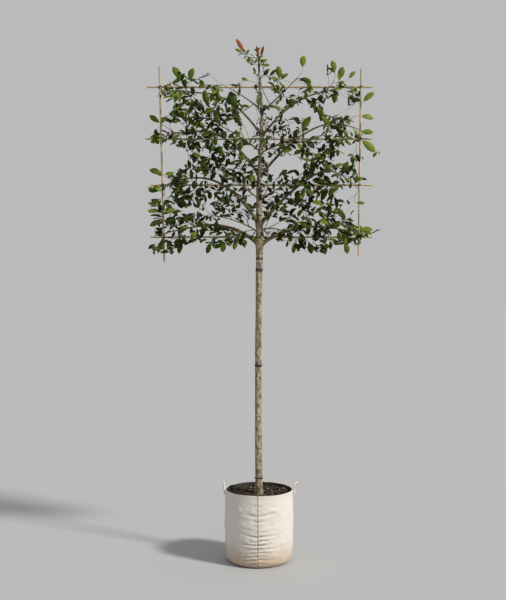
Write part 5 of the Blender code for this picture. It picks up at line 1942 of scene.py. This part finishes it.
class ESPALIER_OT_soil(bpy.types.Operator):
    """The soil and the bits that lie on it"""
    bl_idname = "espalier.soil"
    bl_label = "Soil"

    def execute(self, context):
        settings = context.scene.espalier_soil
        blank = tube_blank("soil_ground", 150, 78)
        outer = bag_radius(SOIL_TOP) - SOIL_INSET

        def place(angle, share):
            if share < 0.04:
                reach, height = outer, SOIL_TOP - 0.05
            else:
                reach = outer * (1 - (share - 0.04) / 0.96)
                height = soil_height(reach * math.cos(angle), reach * math.sin(angle))
            return (reach * math.cos(angle), reach * math.sin(angle), height)

        move_vertices(blank, place)
        merge_and_face_out(blank)
        shade(blank, 70)
        finish_piece(blank, soil_material(settings), "soil", "soil")
        self.scatter_bits(settings, outer)
        return {"FINISHED"}

    def bit_blanks(self):
        """A crumb, a flat flake of bark and a sliver of wood."""
        blanks = []
        for name, size in (("crumb", (1.0, 0.8, 0.7)), ("flake", (1.0, 0.7, 0.22)),
                           ("sliver", (1.0, 0.22, 0.16))):
            deselect_all()
            bpy.ops.mesh.primitive_ico_sphere_add(subdivisions=2, radius=0.5)
            piece = take(name)
            bpy.ops.object.mode_set(mode="EDIT")
            bpy.ops.mesh.select_all(action="SELECT")
            bpy.ops.transform.resize(value=size, center_override=(0.0, 0.0, 0.0))
            bpy.ops.object.mode_set(mode="OBJECT")
            for vertex in piece.data.vertices:
                vertex.co *= 1 + 0.35 * noise.noise(vertex.co * 5.0 + Vector((len(name), 0, 0)))
            blanks.append(piece)
        return blanks

    def scatter_bits(self, settings, outer):
        rng = random.Random(f"{SEED}:bits")
        blanks = self.bit_blanks()
        rows = {name: [] for name in BITS}
        names = list(BITS)
        weights = [BITS[name][1] for name in names]
        for _ in range(settings.chips):
            name = rng.choices(names, weights)[0]
            low, high = BITS[name][2]
            size = low + (high - low) * rng.random() ** 2
            reach = (outer - 0.006) * math.sqrt(rng.random())
            angle = rng.uniform(0, math.tau)
            x, y = reach * math.cos(angle), reach * math.sin(angle)
            if reach < trunk_radius(TRUNK_FOOT) + 0.006:
                continue
            blank = 0 if name == "bits_grit" else rng.randrange(3)
            turn = Matrix.Rotation(rng.uniform(0, math.tau), 3, "Z")
            tip = Matrix.Rotation(rng.uniform(-0.5, 0.5), 3, "X")
            tilt = Matrix.Rotation(rng.uniform(-0.4, 0.4), 3, "Y")
            matrix = np.array(turn @ tip @ tilt) * size
            rows[name].append((blank, matrix, (x, y, soil_height(x, y) + size * 0.10)))
        for name, placements in rows.items():
            piece = join_copies(name, blanks, placements)
            material = bit_material(name.replace("_", " "), BITS[name][0])
            finish_piece(piece, material, "soil")
        remove(*blanks)


# --- stage ------------------------------------------------------------------------------
def add_sun(name, place, strength, softness, colour):
    """A soft light from afar that shines from a place toward the middle of the stage."""
    light = bpy.data.lights.new(name, "SUN")
    light.energy = strength
    light.angle = math.radians(softness)
    light.color = colour
    thing = bpy.data.objects.new(name, light)
    bpy.context.scene.collection.objects.link(thing)
    thing.location = place
    thing.rotation_euler = (-Vector(place)).to_track_quat("-Z", "Y").to_euler()


FLOOR_SIZE = 400.0
SKY_COLOUR = (0.985, 0.985, 0.99, 1.0)
SKY_STRENGTH = 0.50
KEY_PLACE = (5.0, -3.1, 5.0)
KEY_STRENGTH = 3.5
KEY_SOFTNESS = 8.0
KEY_COLOUR = (1.0, 0.955, 0.88)


class ESPALIER_OT_stage(bpy.types.Operator):
    """Floor, soft light and camera"""
    bl_idname = "espalier.stage"
    bl_label = "Stage"

    def execute(self, context):
        settings = context.scene.espalier_stage
        deselect_all()
        bpy.ops.mesh.primitive_plane_add(size=FLOOR_SIZE, location=(0, 0, 0))
        floor = take("floor")
        floor.data.materials.append(floor_material(settings))
        world = bpy.data.worlds.new("studio")
        world.use_nodes = True
        background = world.node_tree.nodes["Background"]
        background.inputs["Color"].default_value = SKY_COLOUR
        background.inputs["Strength"].default_value = SKY_STRENGTH
        context.scene.world = world
        context.scene.view_settings.view_transform = "Standard"
        add_sun("key", KEY_PLACE, KEY_STRENGTH, KEY_SOFTNESS, KEY_COLOUR)
        camera = bpy.data.cameras.new("camera")
        camera.lens = settings.lens
        camera.sensor_width = 36.0
        thing = bpy.data.objects.new("camera", camera)
        context.scene.collection.objects.link(thing)
        thing.location = (settings.camera_side, -settings.camera_distance, settings.camera_height)
        thing.rotation_euler = (math.radians(90), 0.0, 0.0)
        context.scene.camera = thing
        return {"FINISHED"}


# --- panel and registration -------------------------------------------------------------
OPERATORS = (
    ESPALIER_OT_wood, ESPALIER_OT_foliage, ESPALIER_OT_canes, ESPALIER_OT_ties, ESPALIER_OT_bag,
    ESPALIER_OT_lining, ESPALIER_OT_ropes, ESPALIER_OT_soil, ESPALIER_OT_stage)
SETTINGS = {
    "espalier_wood": EspalierWoodSettings,
    "espalier_leaf": EspalierLeafSettings,
    "espalier_frame": EspalierFrameSettings,
    "espalier_bag": EspalierBagSettings,
    "espalier_soil": EspalierSoilSettings,
    "espalier_stage": EspalierStageSettings,
}


class ESPALIER_PT_panel(bpy.types.Panel):
    """The steps that dress the espalier, in order"""
    bl_idname = "ESPALIER_PT_panel"
    bl_label = "Espalier"
    bl_space_type = "VIEW_3D"
    bl_region_type = "UI"
    bl_category = "Espalier"

    def draw(self, context):
        for operator in OPERATORS:
            self.layout.operator(operator.bl_idname)
        for name, group in SETTINGS.items():
            box = self.layout.box()
            box.label(text=name.split("_")[1].title())
            for key in group.__annotations__:
                box.prop(getattr(context.scene, name), key)


def register():
    for name, group in SETTINGS.items():
        bpy.utils.register_class(group)
        setattr(bpy.types.Scene, name, bpy.props.PointerProperty(type=group))
    for item in (*OPERATORS, ESPALIER_PT_panel):
        bpy.utils.register_class(item)


def unregister():
    for item in (ESPALIER_PT_panel, *reversed(OPERATORS)):
        bpy.utils.unregister_class(item)
    for name, group in SETTINGS.items():
        delattr(bpy.types.Scene, name)
        bpy.utils.unregister_class(group)


def main():
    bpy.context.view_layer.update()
    register()
    bpy.ops.espalier.wood()
    bpy.ops.espalier.foliage()
    bpy.ops.espalier.canes()
    bpy.ops.espalier.ties()
    bpy.ops.espalier.bag()
    bpy.ops.espalier.lining()
    bpy.ops.espalier.ropes()
    bpy.ops.espalier.soil()
    bpy.ops.espalier.stage()


if __name__ == "__main__":
    main()
